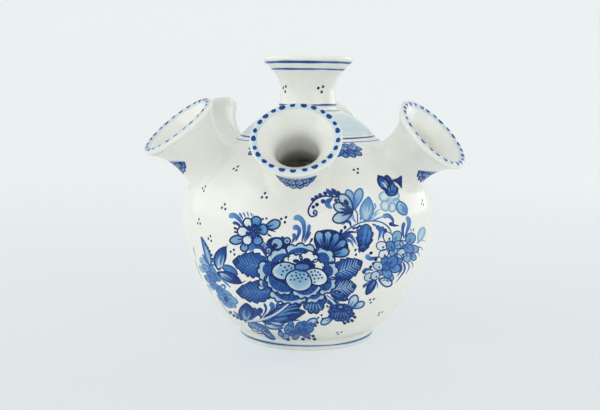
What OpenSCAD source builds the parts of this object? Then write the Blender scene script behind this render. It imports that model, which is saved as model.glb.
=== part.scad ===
// Tin-glazed earthenware tulip vase: a globe on a foot ring, with a flared neck and a ring of
// flared spouts set on the shoulder. Each member is formed on its own and luted on with slip.
// The origin is the centre of the foot, +Z is up and the front spout points along -Y.

/* [Body] */
// Radius of the globe at its widest ring
body_r = 75.5; // [73:0.5:82]
// Height of the widest ring above the table
belly_z = 75.5; // [72:0.5:84]
// Radius of the curve above the widest ring
shoulder_arc_r = 46.5; // [44:0.5:48]
// Radius of the curve below the widest ring
belly_arc_r = 90; // [80:1:96]
// Turn of that curve before the heel begins, in degrees
heel_turn = 41; // [34:1:44]
// Thickness of the thrown wall
body_wall = 4.5; // [3:0.5:6]
// Thickness of the floor inside the foot
floor_t = 6; // [4:0.5:9]

/* [Shoulder dome] */
// Radius of the dome where it rises from the shoulder
dome_r = 42; // [40:0.5:44]
// Radius of the dome's own curve
dome_arc_r = 49; // [42:1:60]
// Height of the flat seat that the neck stands on
seat_z = 137; // [134:0.5:140]
// Radius of that seat
seat_r = 20.4; // [19:0.2:22]

/* [Foot] */
// Outer radius of the foot ring
foot_r = 41; // [38:0.2:44]
// Height of the foot ring
foot_h = 6; // [4:0.5:8]
// Width of the ring that touches the table
foot_w = 6.5; // [4:0.5:9]
// Rounding of the ring's lower edges
foot_round = 1.2; // [0.6:0.1:1.6]

/* [Neck] */
// Radius of the hole down the neck
neck_bore_r = 12.4; // [10:0.2:13]
// Thickness of the neck's wall at its waist
neck_wall = 4; // [3:0.2:5]
// Outer radius of the neck where it stands on its seat
neck_base_r = 17.4; // [17.2:0.1:18.4]
// Height of the straight length above the seat
neck_base_h = 4; // [3:0.5:6]
// Height of the waist, the narrowest ring of the neck, above its seat
waist_z = 12; // [9:0.5:17]
// Radius of the curve that opens the neck
neck_flare_r = 17; // [14:0.5:20]
// Slope of the open cone above that curve, from upright, in degrees
neck_flare_turn = 45; // [40:1:50]
// Outer radius of the rim
rim_r = 27.4; // [26:0.2:31]
// Rounding of the rim, half its thickness
rim_round = 1.6; // [1.2:0.1:1.9]

/* [Spouts] */
// Place of a spout's root on the shoulder curve, in degrees above the widest ring
root_turn = 43.5; // [40:0.5:46]
// Lean of a spout's axis above level, in degrees
spout_lean = 43; // [40:1:50]
// Radius of the hole down a spout
spout_bore_r = 11.5; // [9:0.5:12.5]
// Thickness of a spout's wall at its stem
spout_wall = 4; // [3:0.2:5]
// Straight length from the shoulder to the flare
spout_stem = 4.2; // [3.6:0.2:8]
// Outer radius of a spout's mouth
mouth_r = 24.2; // [22:0.1:26]
// Slope of the flare at the mouth, from the spout's axis, in degrees
mouth_turn = 45; // [40:1:50]
// Rounding of the mouth's lip, half its thickness
lip_round = 2; // [1.4:0.1:2.4]

/* [Slip joints] */
// Width and height of the slip fillet round the foot of the neck
neck_slip_w = 3; // [2:0.2:4]
// Height of a spout's slip fillet above the root
slip_rise = 4; // [2:0.5:5]
// Radius of the fillet's curve
slip_arc_r = 8; // [4:0.5:9]
// Slope at which the fillet runs out on the shoulder, from the spout's axis, in degrees
slip_turn = 36; // [24:1:38]

/* [Hidden] */
SIDES = ["front", "right", "back_right", "back", "back_left", "left"];
// Each spout is set by eye: its turn round the vase, and what its lean and stem gain
SET_TURN = [0, 63, 112, 177, 240, 297];
SET_LEAN = [0, 0, 1, 0, 4, 7.5];
SET_STEM = [0, 0.5, 0, 0, 1.5, 2];
$fn = 240;
arc_steps = 10;
glaze = [0.93, 0.94, 0.90];
bisque = [0.86, 0.83, 0.76];
slip = [0.90, 0.91, 0.88];

// Centres of the body's curves, as [radius, height]
shoulder_c = [body_r - shoulder_arc_r, belly_z];
belly_c = [body_r - belly_arc_r, belly_z];
heel_top = belly_c + belly_arc_r * [cos(heel_turn), -sin(heel_turn)];
heel_arc_r = tangent_radius(heel_top, [cos(heel_turn), -sin(heel_turn)], [foot_r, foot_h]);
heel_c = heel_top - heel_arc_r * [cos(heel_turn), -sin(heel_turn)];
dome_base = [dome_r, belly_z + sqrt(shoulder_arc_r ^ 2 - (dome_r - shoulder_c.x) ^ 2)];
dome_top = [seat_r, seat_z];
dome_c = arc_centre(dome_base, dome_top, dome_arc_r);
floor_z = foot_h + floor_t;

// Root of a spout on the shoulder, as [radius, height], and the shape of its flare
root = shoulder_c + shoulder_arc_r * [cos(root_turn), sin(root_turn)];
spout_r = spout_bore_r + spout_wall;
spout_flare_r = (mouth_r - spout_r) / (1 - cos(mouth_turn)) - lip_round;
// Depth below the root that surely lies under the shoulder's surface
root_depth = body_wall * 2;

// Points along an arc about c from angle a0 to a1
function arc(c, r, a0, a1) =
    [for (i = [0 : arc_steps]) let (a = a0 + (a1 - a0) * i / arc_steps) c + r * [cos(a), sin(a)]];
// Centre of the arc of radius r from p to q that bulges away from the axis
function arc_centre(p, q, r) =
    let (m = (p + q) / 2, d = q - p, h = sqrt(r ^ 2 - (d * d) / 4)) m + h * [-d.y, d.x] / norm(d);
// Radius of the arc that leaves p square to the outward direction u and reaches q
function tangent_radius(p, u, q) = ((p - q) * (p - q)) / (2 * (u * (p - q)));
// Direction of p as seen from c
function bearing(c, p) = atan2(p.y - c.y, p.x - c.x);
// Radius of the arc that leaves p upright and reaches q
function upright_radius(p, q) = ((q - p) * (q - p)) / (2 * (q.x - p.x));

// Half outline below the widest ring, inset by t and cut level at height z. Its top reaches up
// into the shoulder, so that the two are one outline
function lower_half(t, z) = concat(
    [[0, z]],
    arc(heel_c, heel_arc_r - t, -asin((heel_c.y - z) / (heel_arc_r - t)), -heel_turn),
    arc(belly_c, belly_arc_r - t, -heel_turn, 0),
    [[shoulder_c.x, root.y], [0, root.y]]
);
// Half outline of the dome, inset by t
function dome_half(t) = concat(
    [[0, belly_z], [dome_r - t, belly_z]],
    arc(dome_c, dome_arc_r - t, bearing(dome_c, dome_base), bearing(dome_c, dome_top)),
    [[0, dome_c.y + (dome_arc_r - t) * sin(bearing(dome_c, dome_top))]]
);
// Wall of a tube that opens into a trumpet: outside, round lip, inside
function lip(end, r, turn) = arc(end + r * [-cos(turn), sin(turn)], r, -turn, 180 - turn);
function inner_end(end, r, turn) = end + 2 * r * [-cos(turn), sin(turn)];
function inner_flare(foot, end) =
    let (r = upright_radius(foot, end), c = foot + [r, 0])
    [for (i = [arc_steps : -1 : 0])
        let (a = asin((end.y - foot.y) / r) * i / arc_steps) c + r * [-cos(a), sin(a)]];

function neck_half() =
    let (
        waist = [neck_bore_r + neck_wall, seat_z + waist_z],
        base = [neck_base_r, seat_z + neck_base_h],
        low_r = upright_radius(waist, base),
        low_a = asin((waist.y - base.y) / low_r),
        flare_c = waist + [neck_flare_r, 0],
        flare_end = flare_c + neck_flare_r * [-cos(neck_flare_turn), sin(neck_flare_turn)],
        reach = rim_r - rim_round * (1 - cos(neck_flare_turn)) - flare_end.x,
        end = flare_end + reach * [1, 1 / tan(neck_flare_turn)]
    )
    concat(
        [[neck_bore_r, seat_z], [neck_base_r, seat_z]],
        arc(waist + [low_r, 0], low_r, 180 + low_a, 180),
        arc(flare_c, neck_flare_r, 180, 180 - neck_flare_turn),
        lip(end, rim_round, neck_flare_turn),
        inner_flare([neck_bore_r, waist.y], inner_end(end, rim_round, neck_flare_turn))
    );

function spout_half(stem) =
    let (
        flare_c = [spout_r + spout_flare_r, stem],
        end = flare_c + spout_flare_r * [-cos(mouth_turn), sin(mouth_turn)]
    )
    concat(
        [[spout_bore_r, -root_depth], [spout_r, -root_depth]],
        arc(flare_c, spout_flare_r, 180, 180 - mouth_turn),
        lip(end, lip_round, mouth_turn),
        inner_flare([spout_bore_r, stem], inner_end(end, lip_round, mouth_turn))
    );

// Fillet round a spout's root: upright against the stem, then a straight run out on the shoulder
function slip_half() =
    let (
        c = [spout_r + slip_arc_r, slip_rise],
        end = c + slip_arc_r * [-cos(slip_turn), -sin(slip_turn)],
        run = 2 * root_depth * [tan(slip_turn), -1]
    )
    concat(arc(c, slip_arc_r, 180, 180 + slip_turn), [end + run, [spout_r, end.y + run.y]]);

// The shoulder's true curve, filled to the axis; inset by t for the inside of the wall
module shoulder(t) {
    translate(shoulder_c) circle(r = shoulder_arc_r - t);
    translate([0, belly_z]) square([shoulder_c.x, shoulder_arc_r - t]);
}

module globe(t, z) {
    rotate_extrude() {
        intersection() {
            shoulder(t);
            translate([0, belly_z]) square([body_r, shoulder_arc_r]);
        }
        polygon(lower_half(t, z));
        polygon(dome_half(t));
    }
}

module at_spout(i) {
    rotate([0, 0, SET_TURN[i]])
        translate([0, -root.x, root.y])
            rotate([90 - spout_lean - SET_LEAN[i], 0, 0])
                children();
}

// What stands on the shoulder is cut to sit on it
module on_shoulder() {
    difference() {
        children();
        rotate_extrude() intersection() {
            shoulder(0);
            translate([0, belly_z - shoulder_arc_r]) square([body_r, 2 * shoulder_arc_r]);
        }
    }
}

module body() {
    color(glaze) difference() {
        globe(0, foot_h);
        globe(body_wall, floor_z);
        translate([0, 0, belly_z]) cylinder(r = neck_bore_r, h = seat_z);
        for (i = [0 : len(SIDES) - 1])
            at_spout(i)
                translate([0, 0, -2 * root_depth])
                    cylinder(r = spout_bore_r, h = 3 * root_depth);
    }
}

module foot_ring() {
    color(bisque) rotate_extrude() polygon(concat(
        arc([foot_r - foot_round, foot_round], foot_round, 0, -90),
        arc([foot_r - foot_w + foot_round, foot_round], foot_round, -90, -180),
        [[foot_r - foot_w, foot_h], [foot_r, foot_h]]
    ));
}

module neck() {
    color(glaze) rotate_extrude() polygon(neck_half());
}

module neck_slip() {
    low = seat_z - body_wall;
    edge = neck_base_r + neck_slip_w;
    color(slip) difference() {
        rotate_extrude() polygon(concat(
            [[neck_base_r, low], [edge, low]],
            arc([edge, seat_z + neck_slip_w], neck_slip_w, -90, -180)
        ));
        globe(0, foot_h);
    }
}

module spout(i) {
    color(glaze) on_shoulder()
        at_spout(i)
            rotate_extrude() polygon(spout_half(spout_stem + SET_STEM[i]));
}

module spout_slip(i) {
    color(slip) on_shoulder() at_spout(i) rotate_extrude() polygon(slip_half());
}

body();
foot_ring();
neck();
neck_slip();
for (i = [0 : len(SIDES) - 1]) {
    spout(i);
    spout_slip(i);
}
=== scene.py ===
import math

import bpy
import numpy as np
from mathutils import Matrix, Vector
from mathutils.bvhtree import BVHTree


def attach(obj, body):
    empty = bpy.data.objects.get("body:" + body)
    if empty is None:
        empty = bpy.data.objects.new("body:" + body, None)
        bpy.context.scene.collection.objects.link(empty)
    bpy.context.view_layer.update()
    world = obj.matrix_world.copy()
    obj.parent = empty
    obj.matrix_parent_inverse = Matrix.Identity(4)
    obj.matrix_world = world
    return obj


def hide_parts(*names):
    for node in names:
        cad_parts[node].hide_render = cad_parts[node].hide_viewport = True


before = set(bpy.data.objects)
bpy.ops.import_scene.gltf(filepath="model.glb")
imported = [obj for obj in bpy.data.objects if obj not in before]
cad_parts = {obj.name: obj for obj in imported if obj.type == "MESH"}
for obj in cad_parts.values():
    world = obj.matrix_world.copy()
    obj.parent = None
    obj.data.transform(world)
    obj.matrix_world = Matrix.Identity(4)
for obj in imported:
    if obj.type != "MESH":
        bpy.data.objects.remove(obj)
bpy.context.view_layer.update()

# Lengths are in millimetres, as in the part's source, and become metres in each mesh.
MM, TINY = 0.001, 1e-6
SIDES = ["front", "right", "back_right", "back", "back_left", "left"]
SET_TURN = [0, 63, 112, 177, 240, 297]
SET_LEAN = [0, 0, 1, 0, 4, 7.5]
SET_STEM = [0, 0.5, 0, 0, 1.5, 2]

BODY_R, BELLY_Z, BODY_WALL, FLOOR_T = 75.5, 75.5, 4.5, 6.0
SHOULDER_ARC, BELLY_ARC, HEEL_TURN = 46.5, 90.0, 41.0
DOME_R, DOME_ARC, SEAT_Z, SEAT_R = 42.0, 49.0, 137.0, 20.4
FOOT_R, FOOT_H, FOOT_W, FOOT_ROUND = 41.0, 6.0, 6.5, 1.2
NECK_BORE, NECK_WALL, NECK_BASE_R, NECK_BASE_H = 12.4, 4.0, 17.4, 4.0
WAIST_Z, NECK_FLARE, NECK_FLARE_TURN, RIM_R, RIM_ROUND = 12.0, 17.0, 45.0, 27.4, 1.6
ROOT_TURN, SPOUT_LEAN, SPOUT_BORE, SPOUT_WALL = 43.5, 43.0, 11.5, 4.0
SPOUT_STEM, MOUTH_R, MOUTH_TURN, LIP_ROUND = 4.2, 24.2, 45.0, 2.0
NECK_SLIP_W, SLIP_REACH, DRAPE, THROAT_CURVE = 3.0, 5.6, 6.0, 5.5

# How far the softened turns of the outline reach on each side, and how deep the tubes' ends are sunk
DOME_SOFT, FOOT_SOFT, SUNK, NECK_SUNK = 5.0, 3.0, 6.0, 1.0
SPOUT_R = SPOUT_BORE + SPOUT_WALL
# Room round a spout's bore in the body's wall, and the edges that stay sharp there, in degrees
BORE_EASE, SHARP_TURN = 0.1, 50
# Points along a throat and a stem, and halvings in a search for the shoulder
THROAT_STEPS, STEM_STEPS, HALVINGS = 12, 8, 40


def unit(turn):
    """Direction at this angle, in degrees, as (radius, height)."""
    return np.array([math.cos(math.radians(turn)), math.sin(math.radians(turn))])


def arc(centre, radius, start, end, steps=24):
    """Points on an arc, from one angle to another, in degrees."""
    a = np.radians(np.linspace(start, end, steps))
    return np.array(centre) + radius * np.stack([np.cos(a), np.sin(a)], 1)


def bearing(centre, point):
    return math.degrees(math.atan2(point[1] - centre[1], point[0] - centre[0]))


def bezier(a, b, c, steps=10):
    """Points on the curve from a to c that leaves and arrives along the lines to b."""
    t = np.linspace(0, 1, steps)[:, None]
    return (1 - t) ** 2 * a + 2 * t * (1 - t) * b + t**2 * c


def run_of(points):
    """Distance along a row of points."""
    step = np.linalg.norm(np.diff(points, axis=0), axis=1)
    return np.concatenate([[0], np.cumsum(step)])


def soften(outline, corner, reach):
    """The outline with its corner taken as a soft curve."""
    run = run_of(outline)
    at = run[np.argmin(np.linalg.norm(outline - corner, axis=1))]
    ends = [np.array([np.interp(at + d, run, outline[:, k]) for k in (0, 1)]) for d in (-reach, reach)]
    before, after = outline[run < at - reach], outline[run > at + reach]
    return np.concatenate([before, bezier(ends[0], np.array(corner), ends[1]), after])


# Outline of the globe, as the part's source has it
shoulder_c = np.array([BODY_R - SHOULDER_ARC, BELLY_Z])
belly_c = np.array([BODY_R - BELLY_ARC, BELLY_Z])
heel_out = unit(-HEEL_TURN)
heel_top = belly_c + BELLY_ARC * heel_out
foot_top = np.array([FOOT_R, FOOT_H])
heel_arc = np.dot(heel_top - foot_top, heel_top - foot_top) / (2 * np.dot(heel_out, heel_top - foot_top))
heel_c = heel_top - heel_arc * heel_out
dome_base = np.array([DOME_R, BELLY_Z + math.sqrt(SHOULDER_ARC**2 - (DOME_R - shoulder_c[0]) ** 2)])
dome_top = np.array([SEAT_R, SEAT_Z])
dome_span = dome_top - dome_base
dome_rise = math.sqrt(DOME_ARC**2 - np.dot(dome_span, dome_span) / 4) / np.linalg.norm(dome_span)
dome_c = (dome_base + dome_top) / 2 + dome_rise * np.array([-dome_span[1], dome_span[0]])
root = shoulder_c + SHOULDER_ARC * unit(ROOT_TURN)


def globe_outline(inset):
    """Outline from the heel to the dome's top, inset by a wall's thickness."""
    low = foot_top[1] + FLOOR_T if inset else foot_top[1]
    heel_start = -math.degrees(math.asin((heel_c[1] - low) / (heel_arc - inset)))
    ends = [bearing(dome_c, end) for end in (dome_base, dome_top)]
    dome = arc(dome_c, DOME_ARC - inset, *ends, steps=30)
    shoulder = arc(shoulder_c, SHOULDER_ARC - inset, 0, bearing(shoulder_c, dome_base), steps=60)
    shoulder = shoulder[: np.argmin(np.linalg.norm(shoulder - dome[0], axis=1)) + 1]
    return np.concatenate([
        arc(heel_c, heel_arc - inset, heel_start, -HEEL_TURN, steps=16)[:-1],
        arc(belly_c, BELLY_ARC - inset, -HEEL_TURN, 0, steps=50)[:-1],
        shoulder[:-1],
        dome,
    ])


def bowed(top, foot):
    """The inside of a trumpet as one bow, from the lip to the hole."""
    rise = top - foot
    r = np.dot(rise, rise) / (2 * rise[0])
    sweep = math.degrees(math.asin(rise[1] / r))
    return arc(foot + [r, 0], r, 180 - sweep, 180)


def coned(top, foot):
    """The inside of a trumpet as a cone that turns into the hole over a short curve."""
    corner = np.array([foot[0], top[1] - (top[0] - foot[0]) / math.tan(math.radians(MOUTH_TURN))])
    slope = (top - corner) / np.linalg.norm(top - corner)
    start = corner + THROAT_CURVE * slope
    cone = [top + t * (start - top) for t in np.linspace(0, 1, THROAT_STEPS)[:-1]]
    turn = bezier(start, corner, corner - [0, THROAT_CURVE], THROAT_STEPS)
    return np.concatenate([cone, turn, [foot]])


def flared(inside, wall_end, base, flare_c, flare_r, turn, lip_r, inner_foot):
    """Outline of a tube that opens into a trumpet: outside, round lip and inside."""
    lip = arc(wall_end + lip_r * unit(180 - turn), lip_r, -turn, 180 - turn, steps=20)
    outer = arc(flare_c, flare_r, 180, 180 - turn)
    return np.concatenate([base, outer, lip, inside(lip[-1], inner_foot)[1:]])


def neck_outline():
    waist = np.array([NECK_BORE + NECK_WALL, SEAT_Z + WAIST_Z])
    base = np.array([NECK_BASE_R, SEAT_Z + NECK_BASE_H])
    low_r = np.dot(base - waist, base - waist) / (2 * (base[0] - waist[0]))
    low_turn = math.degrees(math.asin((waist[1] - base[1]) / low_r))
    flare_c = waist + [NECK_FLARE, 0]
    flare_end = flare_c + NECK_FLARE * unit(180 - NECK_FLARE_TURN)
    reach = RIM_R - RIM_ROUND * (1 - math.cos(math.radians(NECK_FLARE_TURN))) - flare_end[0]
    end = flare_end + reach * np.array([1, 1 / math.tan(math.radians(NECK_FLARE_TURN))])
    foot = np.array([[NECK_BASE_R, SEAT_Z - NECK_SUNK]])
    low = arc(waist + [low_r, 0], low_r, 180 + low_turn, 180, steps=12)[:-1]
    outline = flared(
        bowed, end, np.concatenate([foot, low]), flare_c, NECK_FLARE, NECK_FLARE_TURN, RIM_ROUND,
        np.array([NECK_BORE, waist[1]]),
    )
    return np.concatenate([outline, [[NECK_BORE, SEAT_Z - NECK_SUNK]]])


def spout_outline(stem):
    flare_r = (MOUTH_R - SPOUT_R) / (1 - math.cos(math.radians(MOUTH_TURN))) - LIP_ROUND
    flare_c = np.array([SPOUT_R + flare_r, stem])
    end = flare_c + flare_r * unit(180 - MOUTH_TURN)
    base = np.stack([np.full(STEM_STEPS, SPOUT_R), np.linspace(-SUNK, stem, STEM_STEPS + 1)[:-1]], 1)
    outline = flared(
        coned, end, base, flare_c, flare_r, MOUTH_TURN, LIP_ROUND, np.array([SPOUT_BORE, stem])
    )
    return np.concatenate([outline, [[SPOUT_BORE, -SUNK]]])


def spout_place(i):
    """Where a spout stands: +Z runs out along it, and -Y is its lower side."""
    lean = math.radians(90 - SPOUT_LEAN - SET_LEAN[i])
    return (
        Matrix.Rotation(math.radians(SET_TURN[i]), 4, "Z")
        @ Matrix.Translation((0, -root[0], root[1]))
        @ Matrix.Rotation(lean, 4, "X")
    )


class Turned:
    """A turned surface. Azimuth is in radians from -Y towards +X, and run is mm along the outline."""

    def __init__(self, outline, place=None):
        apart = np.append(True, np.diff(run_of(outline)) > TINY)
        self.outline = outline[apart]
        self.place = np.array(place if place is not None else Matrix.Identity(4))
        self.run = run_of(self.outline)
        slope = np.gradient(self.outline, self.run, axis=0)
        self.slope = slope / np.linalg.norm(slope, axis=1)[:, None]

    def radius(self, run):
        return np.interp(run, self.run, self.outline[:, 0])

    def run_at(self, height):
        """Where a rising outline reaches this height."""
        return float(np.interp(height, self.outline[:, 1], self.run))

    def at(self, azimuth, run, lift=0.0):
        """Points and normals on the surface, in mm."""
        r, z = (np.interp(run, self.run, self.outline[:, k]) for k in (0, 1))
        tr, tz = (np.interp(run, self.run, self.slope[:, k]) for k in (0, 1))
        size = np.hypot(tr, tz)
        nr, nz = tz / size, -tr / size
        sin, cos = np.sin(azimuth), np.cos(azimuth)
        normal = np.stack([nr * sin, -nr * cos, nz], -1) @ self.place[:3, :3].T
        r, z = r + lift * nr, z + lift * nz
        points = np.stack([r * sin, -r * cos, z], -1) @ self.place[:3, :3].T + self.place[:3, 3]
        return points, normal


class Draped(Turned):
    """A turned surface that runs up over pieces laid against it."""

    def __init__(self, outline, points, faces):
        super().__init__(outline)
        self.over = BVHTree.FromPolygons(points, faces)

    def at(self, azimuth, run, lift=0.0):
        points, normal = super().at(azimuth, run)
        for k in np.ndindex(run.shape):
            out = Vector(normal[k])
            spot, slope, _, _ = self.over.ray_cast(Vector(points[k]) + DRAPE * out, -out, DRAPE)
            if spot:
                points[k], normal[k] = spot, slope if slope.dot(out) > 0 else -slope
        return points + lift * normal, normal


def new_piece(name, points, faces, material, replaced=(), normals=None):
    """A mesh in metres that rides the vase."""
    mesh = bpy.data.meshes.new(name)
    mesh.from_pydata((np.asarray(points) * MM).tolist(), [], faces)
    mesh.polygons.foreach_set("use_smooth", [True] * len(mesh.polygons))
    mesh.update()
    if normals is not None:
        mesh.normals_split_custom_set_from_vertices(np.asarray(normals).tolist())
    piece = bpy.data.objects.new(name, mesh)
    bpy.context.scene.collection.objects.link(piece)
    mesh.materials.append(material)
    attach(piece, "root")
    if replaced:
        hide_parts(*replaced)
    return piece


def spun(outline, place=None, steps=192, closed=True):
    """Points and faces of an outline spun about its axis."""
    place = np.array(place if place is not None else Matrix.Identity(4))
    points, rings = [], []
    for r, z in outline:
        count = 1 if r < TINY else steps
        a = np.arange(count) * 2 * math.pi / steps
        rings.append(range(len(points), len(points) + count))
        points += np.stack([r * np.sin(a), -r * np.cos(a), np.full(count, z)], 1).tolist()
    faces = []
    pairs = list(zip(rings, rings[1:])) + ([(rings[-1], rings[0])] if closed else [])
    for low, high in pairs:
        for i in range(steps):
            j = (i + 1) % steps
            corners = [low[i % len(low)], low[j % len(low)], high[j % len(high)], high[i % len(high)]]
            face = list(dict.fromkeys(corners))
            if len(face) > 2:
                faces.append(face)
    return np.array(points) @ place[:3, :3].T + place[:3, 3], faces


def bored(piece, places, radius, length):
    """Cuts round holes along each place's axis through a piece's wall."""
    points, faces = [], []
    for place in places:
        tube = np.array([[0, -length], [radius, -length], [radius, length], [0, length]])
        p, f = spun(tube, place, steps=96, closed=False)
        faces += [[k + len(points) for k in face] for face in f]
        points += p.tolist()
    mesh = bpy.data.meshes.new("bores")
    mesh.from_pydata((np.array(points) * MM).tolist(), [], faces)
    cutter = bpy.data.objects.new("bores", mesh)
    bpy.context.scene.collection.objects.link(cutter)
    cut = piece.modifiers.new("bores", "BOOLEAN")
    cut.operation, cut.solver, cut.object = "DIFFERENCE", "EXACT", cutter
    graph = bpy.context.evaluated_depsgraph_get()
    made = bpy.data.meshes.new_from_object(piece.evaluated_get(graph))
    piece.modifiers.remove(cut)
    piece.data = made
    bpy.data.objects.remove(cutter)
    made.set_sharp_from_angle(angle=math.radians(SHARP_TURN))


def slip_ring(tube_r, place, reach, steps=144, curve=9):
    """Fillet between a spout's stem and the shoulder, tangent to both, as a closed ring."""
    place = np.array(place)
    rows, normals = [], []
    for k in range(steps):
        a = 2 * math.pi * k / steps
        out = np.array([math.sin(a), -math.cos(a), 0])
        foot = on_shoulder(place, out * tube_r)
        top = foot + np.array(place[:3, 2]) * reach
        side = place[:3, :3] @ out
        spread = onto_shoulder(foot + side * reach)
        path = bezier(top, foot, spread, curve)
        sunk = foot - shoulder_normal(foot) * reach - side * (SPOUT_WALL / 2)
        rows.append(np.concatenate([path, [sunk]]))
        start, end = side, shoulder_normal(spread)
        along = np.gradient(path, axis=0)
        round_dir = np.cross(place[:3, 2], side)
        middle = np.cross(round_dir, along)
        middle *= np.sign(np.sum(middle * (start + end), axis=1))[:, None]
        middle /= np.linalg.norm(middle, axis=1)[:, None]
        middle[0], middle[-1] = start, end
        normals.append(np.concatenate([middle, [-end]]))
    rows, normals = np.array(rows), np.array(normals)
    n, m = rows.shape[:2]
    faces = [
        [i * m + j, i * m + (j + 1) % m, ((i + 1) % n) * m + (j + 1) % m, ((i + 1) % n) * m + j]
        for i in range(n)
        for j in range(m)
    ]
    return rows.reshape(-1, 3), faces, normals.reshape(-1, 3)


def shoulder_normal(point):
    r = math.hypot(point[0], point[1])
    out = np.array([point[0] / r, point[1] / r, 0])
    d = np.array([r, point[2]]) - shoulder_c
    d /= np.linalg.norm(d)
    return out * d[0] + np.array([0, 0, d[1]])


def onto_shoulder(point):
    """The nearest point of the shoulder's curve."""
    r = math.hypot(point[0], point[1])
    d = np.array([r, point[2]]) - shoulder_c
    near = shoulder_c + d * SHOULDER_ARC / np.linalg.norm(d)
    return np.array([point[0] / r * near[0], point[1] / r * near[0], near[1]])


def on_shoulder(place, local):
    """Where a line along a spout, through this local point, meets the shoulder."""
    low, high = -3 * SUNK, 3 * SUNK
    for _ in range(HALVINGS):
        mid = (low + high) / 2
        p = place[:3, :3] @ (local + np.array([0, 0, mid])) + place[:3, 3]
        d = np.array([math.hypot(p[0], p[1]), p[2]]) - shoulder_c
        if np.linalg.norm(d) > SHOULDER_ARC:
            high = mid
        else:
            low = mid
    return p


# Colours are linear. Cobalt runs from a bare brush's wash to strokes laid on thick.
GLAZE = [(0.775, 0.785, 0.715), (0.82, 0.83, 0.765), (0.855, 0.865, 0.805)]
# The globe's inside glaze is paler than the outside's: painted light that makes up for the shade in it.
LINING_PAINTED_LIGHT = [(0.90, 0.885, 0.815), (0.93, 0.915, 0.85), (0.95, 0.935, 0.875)]
COBALT = [
    (0.00, (0.81, 0.825, 0.765)),
    (0.12, (0.545, 0.685, 0.735)),
    (0.25, (0.285, 0.47, 0.60)),
    (0.42, (0.12, 0.305, 0.56)),
    (0.60, (0.05, 0.168, 0.45)),
    (0.85, (0.013, 0.066, 0.28)),
    (1.00, (0.004, 0.014, 0.09)),
]
GLAZE_ROUGH, GLAZE_IOR, COBALT_IOR = 0.16, 1.5, 1.3
# Noise as waves to the metre, detail and roughness, and bumps as strength and depth in metres
RIPPLE, PITS, CLOUD, BRISTLES = (45, 2), (900, 1), (28, 5, 0.6), (420, 4, 0.6)
RIPPLE_BUMP, PIT_BUMP = (0.12, 0.002), (0.03, 0.0003)
# Where the glaze's tints lie in its cloud, and how far the bristles break the tone, on a base
CLOUD_STOPS, BRISTLE_SHARE, BRISTLE_BASE = (0.3, 0.5, 0.7), 0.36, 0.82


def node(tree, kind, **values):
    made = tree.nodes.new(kind)
    for name, value in values.items():
        setattr(made, name, value)
    return made


def noise(tree, scale, detail=2.0, rough=0.5):
    """Noise over the vase, with a scale in waves to the metre."""
    place = node(tree, "ShaderNodeTexCoord")
    made = node(tree, "ShaderNodeTexNoise")
    made.inputs["Scale"].default_value = scale
    made.inputs["Detail"].default_value = detail
    made.inputs["Roughness"].default_value = rough
    tree.links.new(place.outputs["Object"], made.inputs["Vector"])
    return made


def ramp(tree, stops, source):
    made = node(tree, "ShaderNodeValToRGB")
    while len(made.color_ramp.elements) < len(stops):
        made.color_ramp.elements.new(0.5)
    for element, (at, colour) in zip(made.color_ramp.elements, stops):
        element.position, element.color = at, (*colour, 1)
    tree.links.new(source, made.inputs["Fac"])
    return made


def bump(tree, source, strength, depth):
    made = node(tree, "ShaderNodeBump")
    made.inputs["Strength"].default_value = strength
    made.inputs["Distance"].default_value = depth
    tree.links.new(source.outputs["Fac"], made.inputs["Height"])
    return made


def glossy(name, ior=GLAZE_IOR):
    """A fired glaze's shader, with slow ripples and fine pits in its surface."""
    material = bpy.data.materials.new(name)
    material.use_nodes = True
    tree = material.node_tree
    shader = tree.nodes["Principled BSDF"]
    shader.inputs["Roughness"].default_value = GLAZE_ROUGH
    shader.inputs["IOR"].default_value = ior
    soft = bump(tree, noise(tree, *RIPPLE), *RIPPLE_BUMP)
    fine = bump(tree, noise(tree, *PITS), *PIT_BUMP)
    tree.links.new(soft.outputs["Normal"], fine.inputs["Normal"])
    tree.links.new(fine.outputs["Normal"], shader.inputs["Normal"])
    return material, tree, shader


def glaze_material(name, tints):
    material, tree, shader = glossy(name)
    cloud = noise(tree, *CLOUD)
    tint = ramp(tree, list(zip(CLOUD_STOPS, tints)), cloud.outputs["Fac"])
    tree.links.new(tint.outputs["Color"], shader.inputs["Base Color"])
    return material


def cobalt_material():
    """Cobalt under the glaze: the brush's tone, broken by its bristles."""
    material, tree, shader = glossy("cobalt", COBALT_IOR)
    tone = node(tree, "ShaderNodeAttribute", attribute_name="tone")
    spread = node(tree, "ShaderNodeMath", operation="MULTIPLY_ADD")
    spread.inputs[1].default_value = BRISTLE_SHARE
    spread.inputs[2].default_value = BRISTLE_BASE
    total = node(tree, "ShaderNodeMath", operation="MULTIPLY")
    tree.links.new(noise(tree, *BRISTLES).outputs["Fac"], spread.inputs[0])
    tree.links.new(spread.outputs[0], total.inputs[0])
    tree.links.new(tone.outputs["Fac"], total.inputs[1])
    tint = ramp(tree, COBALT, total.outputs[0])
    tree.links.new(tint.outputs["Color"], shader.inputs["Base Color"])
    return material


glaze = glaze_material("tin_glaze", GLAZE)
# Paler glaze for the inside of the globe, as painted light.
lining_painted_light = glaze_material("lining_painted_light", LINING_PAINTED_LIGHT)
cobalt = cobalt_material()

# The outline that the glaze runs over, from the table to the neck's seat
foot_wall = np.linspace(FOOT_ROUND, FOOT_H, 7)[1:]
foot_side = np.concatenate([
    arc([FOOT_R - FOOT_ROUND, FOOT_ROUND], FOOT_ROUND, -90, 0, steps=8),
    np.stack([np.full(len(foot_wall), FOOT_R), foot_wall], 1),
])
outside = np.concatenate([foot_side, globe_outline(0)[1:]])
outside = soften(soften(outside, dome_base, DOME_SOFT), foot_top, FOOT_SOFT)
skin = Turned(outside)
cut = int(np.argmax(outside[:, 1] > FOOT_H))
foot_part, globe_part = outside[: cut + 1], outside[cut:]


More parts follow.
